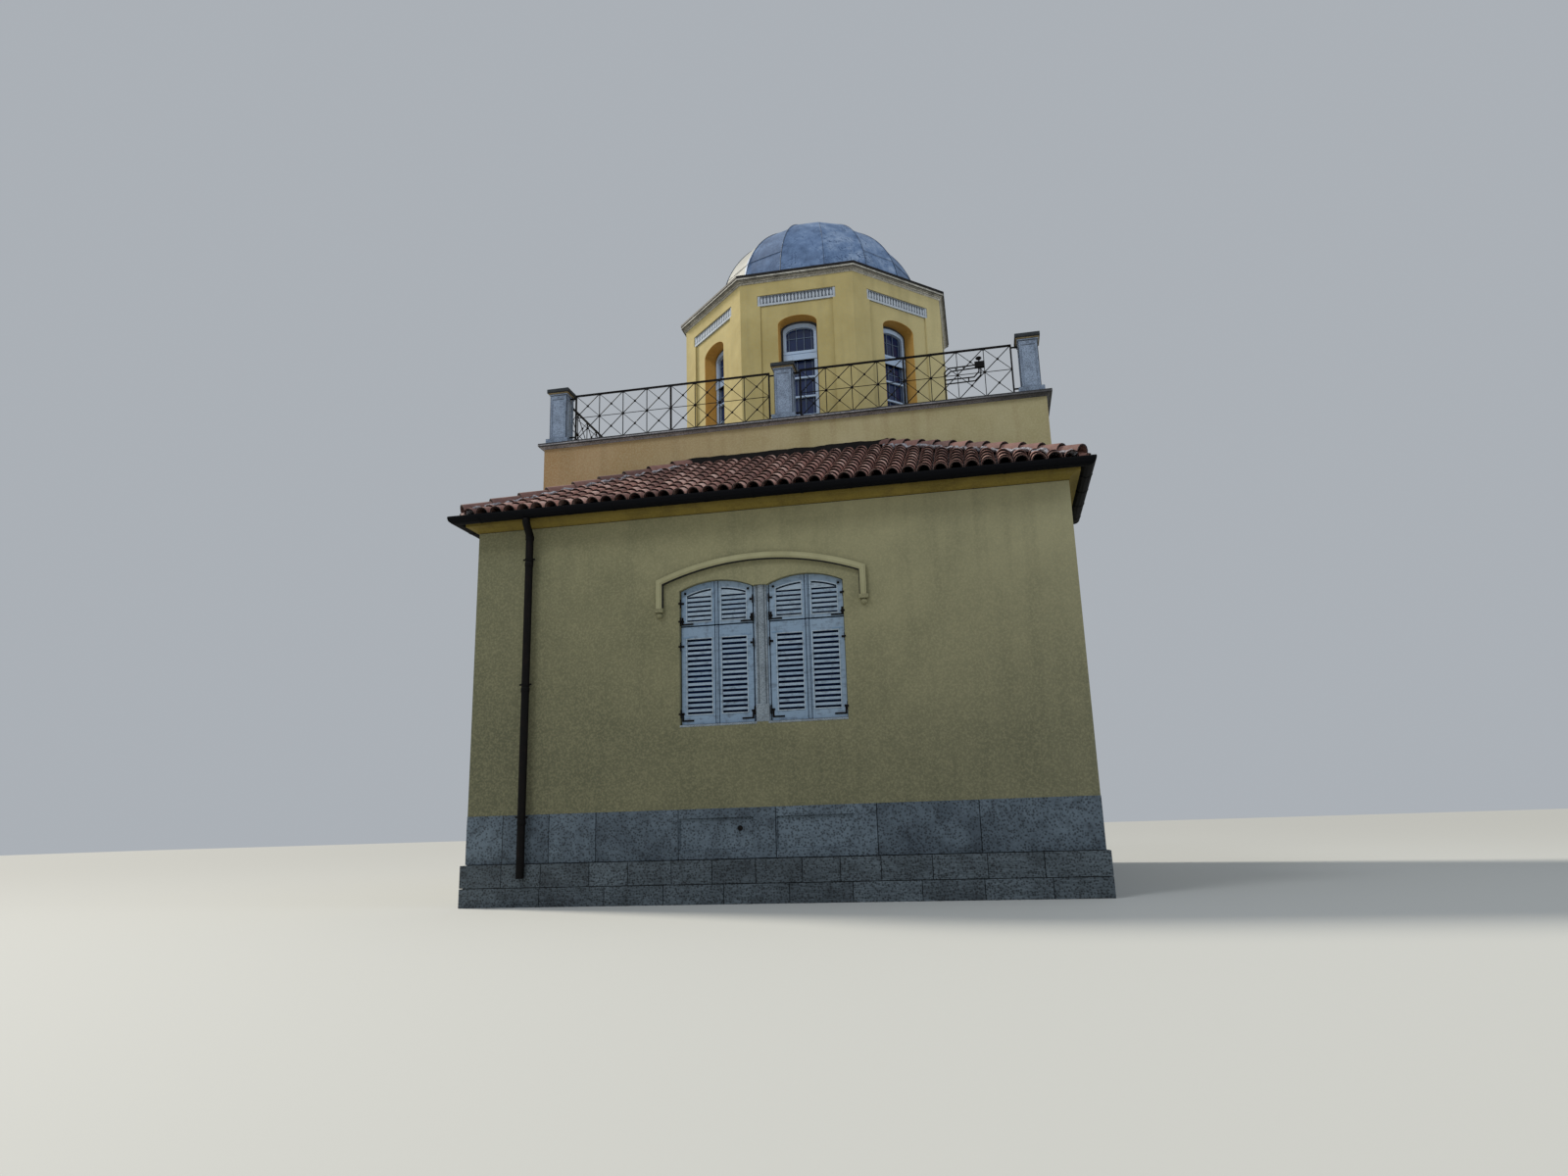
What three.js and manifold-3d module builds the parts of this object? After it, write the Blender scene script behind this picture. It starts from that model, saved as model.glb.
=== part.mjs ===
// Small observatory: a square block with a flat terrace roof, a low front wing under a hipped
// roof, and an octagonal drum on the terrace that carries a turning sheet-metal dome.
// Millimetres, +Z up. The front of the building faces -Y, and the ground is at z = 0.
import * as THREE from "three";
import { mergeVertices } from "three/addons/utils/BufferGeometryUtils.js";
import Module from "manifold-3d";

const wasm = await Module();
wasm.setup();

// Plan. The dome's axis is the middle of the block and the middle of this plan.
const blockHalf = 4200;
const wingDepth = 2100;
const wingFace = blockHalf + wingDepth;
const wallThickness = 500;

// Levels above the ground.
const plinthTop = 1200;
const lowCourseTop = 560;
const floorTop = 1250;
const wallTop = 7365;
const terraceTop = 7430;
const cornerStoneTop = 7452;
const drumTop = 10940;
const drumCorniceTop = 11055;
const deckTop = 11096;
const domeBase = 11185;

// Clearance between a slanted face and what it rests on.
const seat = 0.3;

// Plinth.
const plinthThickness = 560;
const upperCourseProud = 10;
const lowCourseProud = 60;
const blindPanel = { from: 155, width: 1000, bottom: 675, height: 403, depth: 25 };

// Window of two lights with segmental heads, and the plaster label mould over it.
const lightWidth = 1067;
const postHalf = 78;
const postFootHalf = 95;
const sillHeight = 2307;
const lightSpring = 4165;
const lightRise = 127;
const postTop = 4178;
const shutterInset = 60;
const label = { halfWidth: 1470, band: 88, foot: 3925, shoulder: 4330, crown: 4620, proud: 50 };
const labelStop = { half: 62, foot: 3872, proud: 62, ball: 45 };

// Shutters: four leaves close each light, split at one height.
const shutterThickness = 45;
const shutterPanelDepth = 18;
const leafSplit = 3640;
const stile = 62;
const shutterRail = 85;
const shutterClear = 0.3;

// Wing roof: three sloping slabs that meet the block's front wall at one height.
const roofOverhang = 150;
const roofEdgeTop = 5496;
const roofAtBlock = 6740;
const roofThickness = 110;
const ridgeHalf = 1680;
const eaveReturn = 350;

// Eaves.
const coveFoot = 5265;
const coveLip = 5338;
const gutterOut = 340;
const gutterIn = 153;
const gutterTop = 5456;
const gutterBottom = 5350;
const gutterBowl = 82;
const gutterSheet = 8;
const downpipe = { x: -3345, radius: 55, fromWall: 115.4, foot: 370, bendTop: 5290, bendFoot: 5120 };

// Terrace edge: cornice stones, piers and iron railing.
const corniceOverhang = 85;
const pier = { half: 152, baseHalf: 200, baseHeight: 113, capHalf: 197, top: 8500, inset: 58 };
const pierLine = blockHalf - pier.inset - pier.half;
const railTop = 8403;
const railFoot = 7550;
const bay = 432;
const bays = 8;
const railDepth = 16;
const topRail = 30;
const midRail = 14;
const bottomRail = 18;
const upright = 12;
const endUpright = 26;
const middlePost = 28;
const diagonals = { rising: 15, falling: 11 };
const lugs = { heights: [7628, 8347], thick: 24 };

// Drum, with one tall window on each of its eight faces.
const drumFace = 2590;
const drumThickness = 290;
const drumCorniceOut = 2685;
const drumRoofOut = 2696;
const drumOpening = 2010;
const field = { halfWidth: 690, foot: 7700, top: 10465, depth: 35 };
const frieze = { halfWidth: 742, top: 10678 };
const drumWindow = { half: 370, foot: 7900, spring: 10042, crown: 10212 };
const sash = { half: 320, foot: 7930, spring: 10014, crown: 10150 };
const glass = { half: 263, foot: 7990, spring: 9969, crown: 10062 };
const sashProud = 25;
const frameThickness = 60;
const paneDepth = 38;
const drumTransom = { bottom: 9405, top: 9587 };

// Dome of sixteen flat gores, its turning ring and the raised cover of its slit.
const domeSides = 16;
const domeRadius = 2175;
const domeSheet = 40;
const domeSkirt = 70;
const firstSeam = 13;
const trackInner = 2040;
const trackOuter = 2110;
const trackHeight = 44;
const coverHeight = 35;
const coverTopAngle = 12;
const arcSteps = 10;

const render = new THREE.MeshStandardMaterial({ color: "#b59a55", roughness: 0.95, metalness: 0 });
const limestone = new THREE.MeshStandardMaterial({ color: "#8d9096", roughness: 0.9, metalness: 0 });
const corniceStone = new THREE.MeshStandardMaterial({ color: "#9a8b72", roughness: 0.9, metalness: 0 });
const screed = new THREE.MeshStandardMaterial({ color: "#8f8b84", roughness: 0.95, metalness: 0 });
const clayTile = new THREE.MeshStandardMaterial({ color: "#8a4f40", roughness: 0.85, metalness: 0 });
const blackIron = new THREE.MeshStandardMaterial({ color: "#2a2624", roughness: 0.55, metalness: 0.6 });
const shutterPaint = new THREE.MeshStandardMaterial({ color: "#9fb0c2", roughness: 0.7, metalness: 0 });
const whitePaint = new THREE.MeshStandardMaterial({ color: "#c9cbd0", roughness: 0.6, metalness: 0 });
const zincSheet = new THREE.MeshStandardMaterial({ color: "#7f8fa6", roughness: 0.5, metalness: 0.7 });

const building = new THREE.Group();

// The plan is moved so that the middle of the whole footprint, eaves included, is at y = 0.
building.position.y = (wingFace + gutterOut - blockHalf - corniceOverhang) / 2;

// The four sides of the building, each as a turn of the front side about the dome's axis.
const sides = { front: 0, right: Math.PI / 2, back: Math.PI, left: -Math.PI / 2 };

function add(name, geometry, material, turn = 0) {
  const mesh = new THREE.Mesh(geometry, material);
  mesh.name = name;
  mesh.rotation.z = turn;
  building.add(mesh);
  return mesh;
}

function toSolid(geometry) {
  const bare = geometry.index ? geometry.toNonIndexed() : geometry.clone();
  bare.deleteAttribute("normal");
  bare.deleteAttribute("uv");
  const merged = mergeVertices(bare, 1e-3);
  return new wasm.Manifold(new wasm.Mesh({
    numProp: 3,
    vertProperties: new Float32Array(merged.attributes.position.array),
    triVerts: new Uint32Array(merged.index.array),
  }));
}

function toGeometry(solid) {
  const mesh = solid.getMesh();
  const geometry = new THREE.BufferGeometry();
  geometry.setAttribute("position", new THREE.BufferAttribute(new Float32Array(mesh.vertProperties), 3));
  geometry.setIndex(new THREE.BufferAttribute(new Uint32Array(mesh.triVerts), 1));
  geometry.computeVertexNormals();
  return geometry;
}

function join(...geometries) {
  return toGeometry(geometries.map(toSolid).reduce((whole, next) => whole.add(next)));
}

function cut(geometry, ...tools) {
  return toGeometry(tools.map(toSolid).reduce((whole, tool) => whole.subtract(tool), toSolid(geometry)));
}

function box(x0, x1, y0, y1, z0, z1) {
  const geometry = new THREE.BoxGeometry(x1 - x0, y1 - y0, z1 - z0);
  return geometry.translate((x0 + x1) / 2, (y0 + y1) / 2, (z0 + z1) / 2);
}

function outline(points) {
  return new THREE.Shape(points.map(([x, y]) => new THREE.Vector2(x, y)));
}

// A front elevation (x across, z up), made solid from one depth to another.
function elevation(shape, frontY, backY, segments = 6) {
  const options = { depth: backY - frontY, bevelEnabled: false, curveSegments: segments };
  return new THREE.ExtrudeGeometry(shape, options).rotateX(Math.PI / 2).translate(0, backY, 0);
}

// A moulding of constant section along one side. The section is (distance out from the wall
// face, height); a mitred end follows the 45 degree line of the corner.
function moulding(section, face, from, to, mitreFrom, mitreTo) {
  const shape = outline(section);
  const geometry = new THREE.ExtrudeGeometry(shape, { depth: 1, bevelEnabled: false });
  const position = geometry.attributes.position;
  for (let i = 0; i < position.count; i += 1) {
    const out = position.getX(i);
    const up = position.getY(i);
    const atStart = position.getZ(i) < 0.5;
    const along = atStart ? from - (mitreFrom ? out : 0) : to + (mitreTo ? out : 0);
    position.setXYZ(i, along, -(face + out), up);
  }
  return flip(geometry);
}

// Turns every triangle over, for a shape that was mirrored on its way to its place.
function flip(geometry) {
  const position = geometry.attributes.position;
  for (let i = 0; i < position.count; i += 3) {
    const [x, y, z] = [position.getX(i), position.getY(i), position.getZ(i)];
    position.setXYZ(i, position.getX(i + 1), position.getY(i + 1), position.getZ(i + 1));
    position.setXYZ(i + 1, x, y, z);
  }
  return geometry;
}

// A ring or body with flat sides: the profile is (distance of a side from the axis, height).
function sided(profile, count, turnDegrees) {
  const toCorner = 1 / Math.cos(Math.PI / count);
  const points = profile.map(([r, z]) => new THREE.Vector2(r * toCorner, z));
  const geometry = new THREE.LatheGeometry(points, count).rotateX(Math.PI / 2);
  return geometry.rotateZ(THREE.MathUtils.degToRad(turnDegrees));
}

function lightArch(centre, inset, bottom) {
  const half = lightWidth / 2 - inset;
  const radius = ((lightWidth / 2) ** 2 + lightRise ** 2) / (2 * lightRise) - inset;
  const centreZ = lightSpring + lightRise - radius - inset;
  const reach = Math.asin(half / radius);
  const shape = new THREE.Shape();
  shape.moveTo(centre - half, bottom + inset);
  shape.lineTo(centre + half, bottom + inset);
  shape.absarc(centre, centreZ, radius, Math.PI / 2 - reach, Math.PI / 2 + reach, false);
  shape.closePath();
  return shape;
}

const lightCentre = postHalf + lightWidth / 2;

// The hole in a wall for the two lights and the post between them.
function windowHole(face) {
  const front = -face - 200;
  const back = -face + wallThickness + 200;
  const lights = [-lightCentre, lightCentre].map((x) => elevation(lightArch(x, 0, sillHeight), front, back));
  return join(...lights, box(-postHalf - 5, postHalf + 5, front, back, sillHeight, postTop));
}

// The stops at the feet of the label: a square cap with a ball under it.
function labelStops(face) {
  const { half, foot, proud, ball } = labelStop;
  const legCentre = label.halfWidth - label.band / 2;
  return [-legCentre, legCentre].map((x) => {
    const cap = box(x - half, x + half, -face - proud, -face + 20, foot, label.foot + 1);
    const drop = new THREE.SphereGeometry(ball, 12, 8).translate(x, -face - 8, foot - ball + 5);
    return join(cap, drop);
  });
}

function labelMould(face) {
  const { halfWidth, band, foot, shoulder, crown, proud } = label;
  const rise = crown - shoulder;
  const radius = (halfWidth ** 2 + rise ** 2) / (2 * rise);
  const centreZ = crown - radius;
  const outerReach = Math.asin(halfWidth / radius);
  const innerReach = Math.asin((halfWidth - band) / (radius - band));
  const shape = new THREE.Shape();
  shape.moveTo(halfWidth, foot);
  shape.absarc(0, centreZ, radius, Math.PI / 2 - outerReach, Math.PI / 2 + outerReach, false);
  shape.lineTo(-halfWidth, foot);
  shape.lineTo(-halfWidth + band, foot);
  shape.absarc(0, centreZ, radius - band, Math.PI / 2 + innerReach, Math.PI / 2 - innerReach, true);
  shape.lineTo(halfWidth - band, foot);
  shape.closePath();
  return elevation(shape, -face - proud, -face + 20, 12);
}

// A wall with its window cut through and the label mould run in its plaster.
function windowWall(shape, face) {
  const wall = elevation(shape, -face, -face + wallThickness);
  return cut(join(wall, labelMould(face), ...labelStops(face)), windowHole(face));
}

function rectangle(x0, x1, z0, z1) {
  return outline([[x0, z0], [x1, z0], [x1, z1], [x0, z1]]);
}

const sideSlope = (roofAtBlock - roofEdgeTop) / (blockHalf + roofOverhang - ridgeHalf);
const roofEdgeUnder = roofEdgeTop - roofThickness;
const wingWallTop = roofEdgeUnder + roofOverhang * sideSlope - seat;

function sideWallShape(mirror) {
  const front = -wingFace + wallThickness;
  const back = blockHalf - wallThickness;
  const points = [
    [front, plinthTop],
    [back, plinthTop],
    [back, wallTop],
    [-blockHalf, wallTop],
    [-blockHalf, wingWallTop],
    [front, wingWallTop],
  ];
  return outline(mirror ? points.map(([x, z]) => [-x, z]).reverse() : points);
}

function makeWalls() {
  const frontShape = rectangle(-blockHalf, blockHalf, plinthTop, wingWallTop);
  add("front_wall", windowWall(frontShape, wingFace), render);
  add("right_wall", windowWall(sideWallShape(false), blockHalf), render, sides.right);
  add("left_wall", windowWall(sideWallShape(true), blockHalf), render, sides.left);
  const backShape = rectangle(-blockHalf, blockHalf, plinthTop, wallTop);
  add("back_wall", windowWall(backShape, blockHalf), render, sides.back);

  // Over the wing the block's front wall stands on a deep beam between the side walls.
  const inner = blockHalf - wallThickness;
  const beamFoot = 4900;
  add("terrace_front_wall", box(-inner, inner, -blockHalf, -inner, beamFoot, wallTop), render);
}

function makePlinth() {
  const section = [
    [-plinthThickness, 0],
    [lowCourseProud, 0],
    [lowCourseProud, lowCourseTop - 15],
    [lowCourseProud - 15, lowCourseTop],
    [upperCourseProud, lowCourseTop],
    [upperCourseProud, plinthTop - 10],
    [0, plinthTop],
    [-plinthThickness, plinthTop],
  ];
  const runs = {
    front: { face: wingFace, from: -blockHalf, to: blockHalf },
    right: { face: blockHalf, from: -wingFace, to: blockHalf },
    back: { face: blockHalf, from: -blockHalf, to: blockHalf },
    left: { face: blockHalf, from: -blockHalf, to: wingFace },
  };
  const { from: panelFrom, width, bottom, height, depth } = blindPanel;
  for (const [side, run] of Object.entries(runs)) {
    const stones = moulding(section, run.face, run.from, run.to, true, true);
    const outer = -run.face - upperCourseProud;
    const panels = [-panelFrom - width, panelFrom].map((x) =>
      box(x, x + width, outer - 10, outer + depth, bottom, bottom + height));
    add(`${side}_plinth`, cut(stones, ...panels), limestone, sides[side]);
  }
}

function makeFloors() {
  const plinthInner = blockHalf - plinthThickness;
  const wingInner = wingFace - plinthThickness;
  add("ground_floor", box(-plinthInner, plinthInner, -wingInner, plinthInner, 1000, floorTop), screed);
  const inner = blockHalf - wallThickness;
  add("terrace_floor", box(-inner, inner, -inner, inner, terraceTop - 300, terraceTop), screed);
}

function shutterField(x0, x1, z0, top) {
  const steps = 4;
  const points = [[x0, z0], [x1, z0]];
  for (let i = 0; i <= steps; i += 1) {
    const x = x1 + ((x0 - x1) * i) / steps;
    points.push([x, top(x)]);
  }
  return outline(points);
}

// The closed leaves of one light: a plate with a sunk field for the slats of each leaf.
function shutterSet(centre, face) {
  const front = -face + shutterInset;
  const plate = elevation(lightArch(centre, shutterClear, sillHeight), front, front + shutterThickness);
  const half = lightWidth / 2 - shutterClear;
  const radius = ((lightWidth / 2) ** 2 + lightRise ** 2) / (2 * lightRise) - shutterRail;
  const centreZ = lightSpring + lightRise - radius - shutterRail;
  const headAt = (x) => centreZ + Math.sqrt(radius ** 2 - (x - centre) ** 2);
  const lowTop = () => leafSplit - shutterRail / 2;
  const fields = [];
  for (const [a, b] of [[-half, 0], [0, half]]) {
    const x0 = centre + a + stile;
    const x1 = centre + b - stile;
    fields.push(shutterField(x0, x1, sillHeight + shutterRail, lowTop));
    fields.push(shutterField(x0, x1, leafSplit + shutterRail / 2, headAt));
  }
  return cut(plate, ...fields.map((shape) => elevation(shape, front - 10, front + shutterPanelDepth)));
}

function windowPost(face) {
  const footTop = 2545;
  const shape = outline([
    [-postFootHalf, sillHeight],
    [postFootHalf, sillHeight],
    [postFootHalf, footTop],
    [postHalf, footTop + 20],
    [postHalf, postTop],
    [-postHalf, postTop],
    [-postHalf, footTop + 20],
    [-postFootHalf, footTop],
  ]);
  return elevation(shape, -face + 20, -face + 320);
}

function makeWindows() {
  const notch = box(-postFootHalf - seat, postFootHalf + seat, -wingFace, -wingFace + 400, sillHeight, 2566);
  add("front_window_post", windowPost(wingFace), limestone);
  add("front_left_shutters", cut(shutterSet(-lightCentre, wingFace), notch), shutterPaint);
  add("front_right_shutters", cut(shutterSet(lightCentre, wingFace), notch), shutterPaint);
  const bridge = box(-postHalf - 20, postHalf + 20, -blockHalf + shutterInset + 10, -blockHalf + shutterInset + 30, 2600, 4100);
  const whole = join(
    windowPost(blockHalf),
    shutterSet(-lightCentre, blockHalf),
    shutterSet(lightCentre, blockHalf),
    bridge,
  );
  for (const side of ["right", "back", "left"]) {
    add(`${side}_shuttered_window`, whole.clone(), shutterPaint, sides[side]);
  }
}

// A slab whose plan is given and whose top follows a sloping plane.
function slopingSlab(plan, topAt) {
  const geometry = new THREE.ExtrudeGeometry(outline(plan), { depth: 1, bevelEnabled: false });
  const position = geometry.attributes.position;
  for (let i = 0; i < position.count; i += 1) {
    const top = topAt(position.getX(i), position.getY(i));
    position.setZ(i, position.getZ(i) > 0.5 ? top : top - roofThickness);
  }
  return geometry;
}

function makeRoof() {
  const rise = roofAtBlock - roofEdgeTop;
  const edgeX = blockHalf + roofOverhang;
  const edgeY = -wingFace - roofOverhang;
  const blockY = -blockHalf - seat;
  const returnY = -blockHalf + eaveReturn;
  const frontPlane = (x, y) => roofEdgeTop + (rise * (y - edgeY)) / (blockY - edgeY);
  const sidePlane = (x) => roofEdgeTop + (rise * (edgeX - Math.abs(x))) / (edgeX - ridgeHalf);
  const frontPlan = [
    [-edgeX + seat, edgeY],
    [edgeX - seat, edgeY],
    [ridgeHalf - seat, blockY],
    [-ridgeHalf + seat, blockY],
  ];
  const rightPlan = [
    [edgeX, edgeY],
    [edgeX, returnY],
    [blockHalf + seat, returnY],
    [blockHalf + seat, blockY],
    [ridgeHalf, blockY],
  ];
  const leftPlan = rightPlan.map(([x, y]) => [-x, y]).reverse();
  add("front_roof", slopingSlab(frontPlan, frontPlane), clayTile);
  add("right_roof", slopingSlab(rightPlan, sidePlane), clayTile);
  add("left_roof", slopingSlab(leftPlan, sidePlane), clayTile);
}

function coveSection() {
  const out = roofOverhang - 4;
  const under = (d) => roofEdgeUnder + (roofOverhang - d) * sideSlope - seat;
  const points = [[0, coveFoot], [12, coveFoot], [12, coveFoot + 18]];
  const steps = 5;
  for (let i = 0; i <= steps; i += 1) {
    const a = (Math.PI / 2) * (i / steps);
    points.push([12 + (out - 12) * (1 - Math.cos(a)), coveFoot + 18 + (coveLip - coveFoot - 18) * Math.sin(a)]);
  }
  points.push([out, under(out)], [0, under(0)]);
  return points;
}

function gutterSection() {
  const steps = 6;
  const middle = (gutterOut + gutterIn) / 2;
  const half = (gutterOut - gutterIn) / 2;
  const curveTop = gutterBottom + gutterBowl;
  const bowl = (inset) => {
    const points = [];
    for (let i = 0; i <= steps; i += 1) {
      const a = Math.PI * (i / steps);
      const depth = curveTop - gutterBottom - inset;
      points.push([middle - (half - inset) * Math.cos(a), curveTop - depth * Math.sin(a)]);
    }
    return points;
  };
  const outer = [[gutterIn, gutterTop], ...bowl(0), [gutterOut, gutterTop]];
  const inner = [[gutterIn + gutterSheet, gutterTop], ...bowl(gutterSheet), [gutterOut - gutterSheet, gutterTop]];
  return [...outer, ...inner.reverse()];
}

function makeEaves() {
  const rear = -blockHalf + eaveReturn;
  const pieces = [["cove", coveSection(), render], ["gutter", gutterSection(), blackIron]];
  for (const [word, section, material] of pieces) {
    add(`front_${word}`, moulding(section, wingFace, -blockHalf, blockHalf, true, true), material);
    add(`right_${word}`, moulding(section, blockHalf, -wingFace, rear, true, false), material, sides.right);
    add(`left_${word}`, moulding(section, blockHalf, -rear, wingFace, false, true), material, sides.left);
  }
}

function makeDownpipe() {
  const { x, radius, fromWall, foot, bendTop, bendFoot } = downpipe;
  const outletY = -wingFace - (gutterOut + gutterIn) / 2;
  const pipeY = -wingFace - fromWall;
  const circle = new THREE.Shape().absarc(0, 0, radius, 0, Math.PI * 2, false);
  const path = new THREE.CatmullRomCurve3([
    new THREE.Vector3(x, outletY, gutterBottom - seat),
    new THREE.Vector3(x, outletY, bendTop),
    new THREE.Vector3(x, (outletY + pipeY) / 2, (bendTop + bendFoot) / 2),
    new THREE.Vector3(x, pipeY, bendFoot),
    new THREE.Vector3(x, pipeY, bendFoot - 60),
  ], false, "catmullrom", 0.5);
  const neck = new THREE.ExtrudeGeometry(circle, { steps: 10, curveSegments: 10, extrudePath: path });
  const dropTop = bendFoot - 30;
  const drop = new THREE.CylinderGeometry(radius, radius, dropTop - foot, 20).rotateX(Math.PI / 2);
  drop.translate(x, pipeY, (dropTop + foot) / 2);
  add("downpipe", join(neck, drop), blackIron);
}

function makeTerraceEdge() {
  const face = blockHalf;
  const cornice = [
    [face - wallThickness, wallTop],
    [face + 10, wallTop],
    [face + 16, wallTop + 16],
    [face + 48, wallTop + 32],
    [face + 60, wallTop + 34],
    [face + 60, wallTop + 42],
    [face + corniceOverhang, wallTop + 42],
    [face + corniceOverhang, cornerStoneTop],
    [face - wallThickness, cornerStoneTop],
  ];
  add("terrace_cornice", sided([...cornice, cornice[0]], 4, 45), corniceStone);

  const { half, baseHalf, baseHeight, capHalf, top } = pier;
  const foot = cornerStoneTop;
  const profile = [
    [0, foot],
    [baseHalf, foot],
    [baseHalf, foot + baseHeight],
    [half, foot + baseHeight + 15],
    [half, top - 128],
    [half + 14, top - 120],
    [half + 14, top - 100],
    [half + 30, top - 86],
    [capHalf, top - 76],
    [capHalf, top - 12],
    [capHalf - 25, top],
    [0, top],
  ];
  const places = {
    front_left: [-1, -1],
    front_middle: [0, -1],
    front_right: [1, -1],
    right_middle: [1, 0],
    back_right: [1, 1],
    back_middle: [0, 1],
    back_left: [-1, 1],
    left_middle: [-1, 0],
  };
  for (const [place, [x, y]] of Object.entries(places)) {
    const mesh = add(`pier_${place}`, sided(profile, 4, 45), limestone);
    mesh.position.set(x * pierLine, y * pierLine, 0);
  }
}

// One railing panel between two piers: rails, uprights and the lugs that enter the stone.
function railingPanel() {
  const half = (bays * bay) / 2;
  const middle = (railFoot + railTop) / 2;
  const front = -pierLine - railDepth / 2;
  const bar = (x0, x1, z0, z1) => box(x0, x1, front, front + railDepth, z0, z1);
  const slant = (x0, z0, x1, z1, width) => {
    const rise = (width / 2) * Math.hypot(1, (z1 - z0) / (x1 - x0));
    const strip = [[x0, z0 - rise], [x1, z1 - rise], [x1, z1 + rise], [x0, z0 + rise]];
    return elevation(outline(strip), front, front + railDepth);
  };
  const end = half + endUpright / 2;
  const low = railFoot + bottomRail / 2;
  const high = railTop - topRail / 2;
  const bars = [
    bar(-end, end, railFoot, railFoot + bottomRail),
    bar(-end, end, middle - midRail / 2, middle + midRail / 2),
    bar(-end, end, railTop - topRail, railTop),
  ];
  for (let i = 0; i <= bays; i += 1) {
    const between = i === bays / 2 ? middlePost : upright;
    const width = i === 0 || i === bays ? endUpright : between;
    const x = -half + i * bay;
    bars.push(bar(x - width / 2, x + width / 2, railFoot + 2, railTop - 2));
  }

  // Crossed bars: each slants through two rows of bays, and only through one at the ends.
  for (let i = -1; i < bays; i += 1) {
    const x0 = -half + Math.max(i, 0) * bay;
    const x1 = -half + Math.min(i + 2, bays) * bay;
    const lowEnd = i < 0 ? middle : low;
    const highEnd = i + 2 > bays ? middle : high;
    bars.push(slant(x0, lowEnd, x1, highEnd, diagonals.rising));
    bars.push(slant(x0, low + high - lowEnd, x1, low + high - highEnd, diagonals.falling));
  }
  const lugEnd = pierLine / 2 - pier.half - seat;
  for (const z of lugs.heights) {
    bars.push(bar(-lugEnd, -half, z, z + lugs.thick));
    bars.push(bar(half, lugEnd, z, z + lugs.thick));
  }
  return join(...bars);
}

function makeRailings() {
  const panel = railingPanel();
  const offset = pierLine / 2;
  for (const [side, turn] of Object.entries(sides)) {
    for (const [word, x] of [["a", -offset], ["b", offset]]) {
      const geometry = panel.clone().translate(x, 0, 0);
      add(`${side}_railing_${word}`, geometry, blackIron, turn);
    }
  }
}

// A straight tube that runs in a plane parallel to the front, between two points (x, z).
function tube([x0, z0], [x1, z1], y, radius) {
  const length = Math.hypot(x1 - x0, z1 - z0);
  const rod = new THREE.CylinderGeometry(radius, radius, length, 10).rotateX(Math.PI / 2);
  return rod.rotateY(Math.atan2(x1 - x0, z1 - z0)).translate((x0 + x1) / 2, y, (z0 + z1) / 2);
}

// The bracket on the right front panel: tubes bent in two loops, rungs, and a small box head.
function makeRailingBracket() {
  const radius = 11;
  const panelFace = -pierLine - railDepth / 2 - seat;
  const y = panelFace - radius;
  const post = 2650;
  const head = { left: 3138, right: 3297, foot: 8050, top: 8150, depth: 60 };
  const runs = [
    [[post, railFoot], [post, 8035], [2722, 8103], [head.left + 10, 8112]],
    [[post, 7975], [2686, 7990], [2754, 8046], [head.left + 10, 8060]],
    [[post, 7904], [3118, 7905], [3200, 7992], [3200, head.foot + 10]],
    [[post, 7832], [3131, 7838], [3225, 7930], [3236, head.foot + 10]],
  ];
  const rungs = [
    [[2836, 8050], [2836, 8106]],
    [[2959, 8054], [2959, 8108]],
    [[3030, 7836], [3030, 7905]],
  ];
  const parts = [box(head.left, head.right, panelFace - head.depth, panelFace, head.foot, head.top)];
  for (const run of [...runs, ...rungs]) {
    for (let i = 1; i < run.length; i += 1) {
      parts.push(tube(run[i - 1], run[i], y, radius));
    }
    for (const [x, z] of run.slice(1, -1)) {
      parts.push(new THREE.IcosahedronGeometry(radius, 1).translate(x, y, z));
    }
  }
  const capCentre = [3208, 8214];
  parts.push(tube([3215, head.top - 10], capCentre, panelFace - 30, radius));
  const cap = new THREE.SphereGeometry(50, 12, 8).scale(1, 0.6, 0.64);
  parts.push(cap.translate(capCentre[0], panelFace - 30, capCentre[1]));
  add("railing_bracket", join(...parts), blackIron);
}

// An opening with upright sides and a half-elliptical head.
function headedShape({ half, foot, spring, crown }) {
  const shape = new THREE.Shape();
  shape.moveTo(-half, foot);
  shape.lineTo(half, foot);
  shape.lineTo(half, spring);
  shape.absellipse(0, spring, half, crown - spring, 0, Math.PI, false, 0);
  shape.closePath();
  return shape;
}

function eightTimes(geometry) {
  return [...Array(8).keys()].map((i) => geometry.clone().rotateZ((i * Math.PI) / 4));
}

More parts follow.
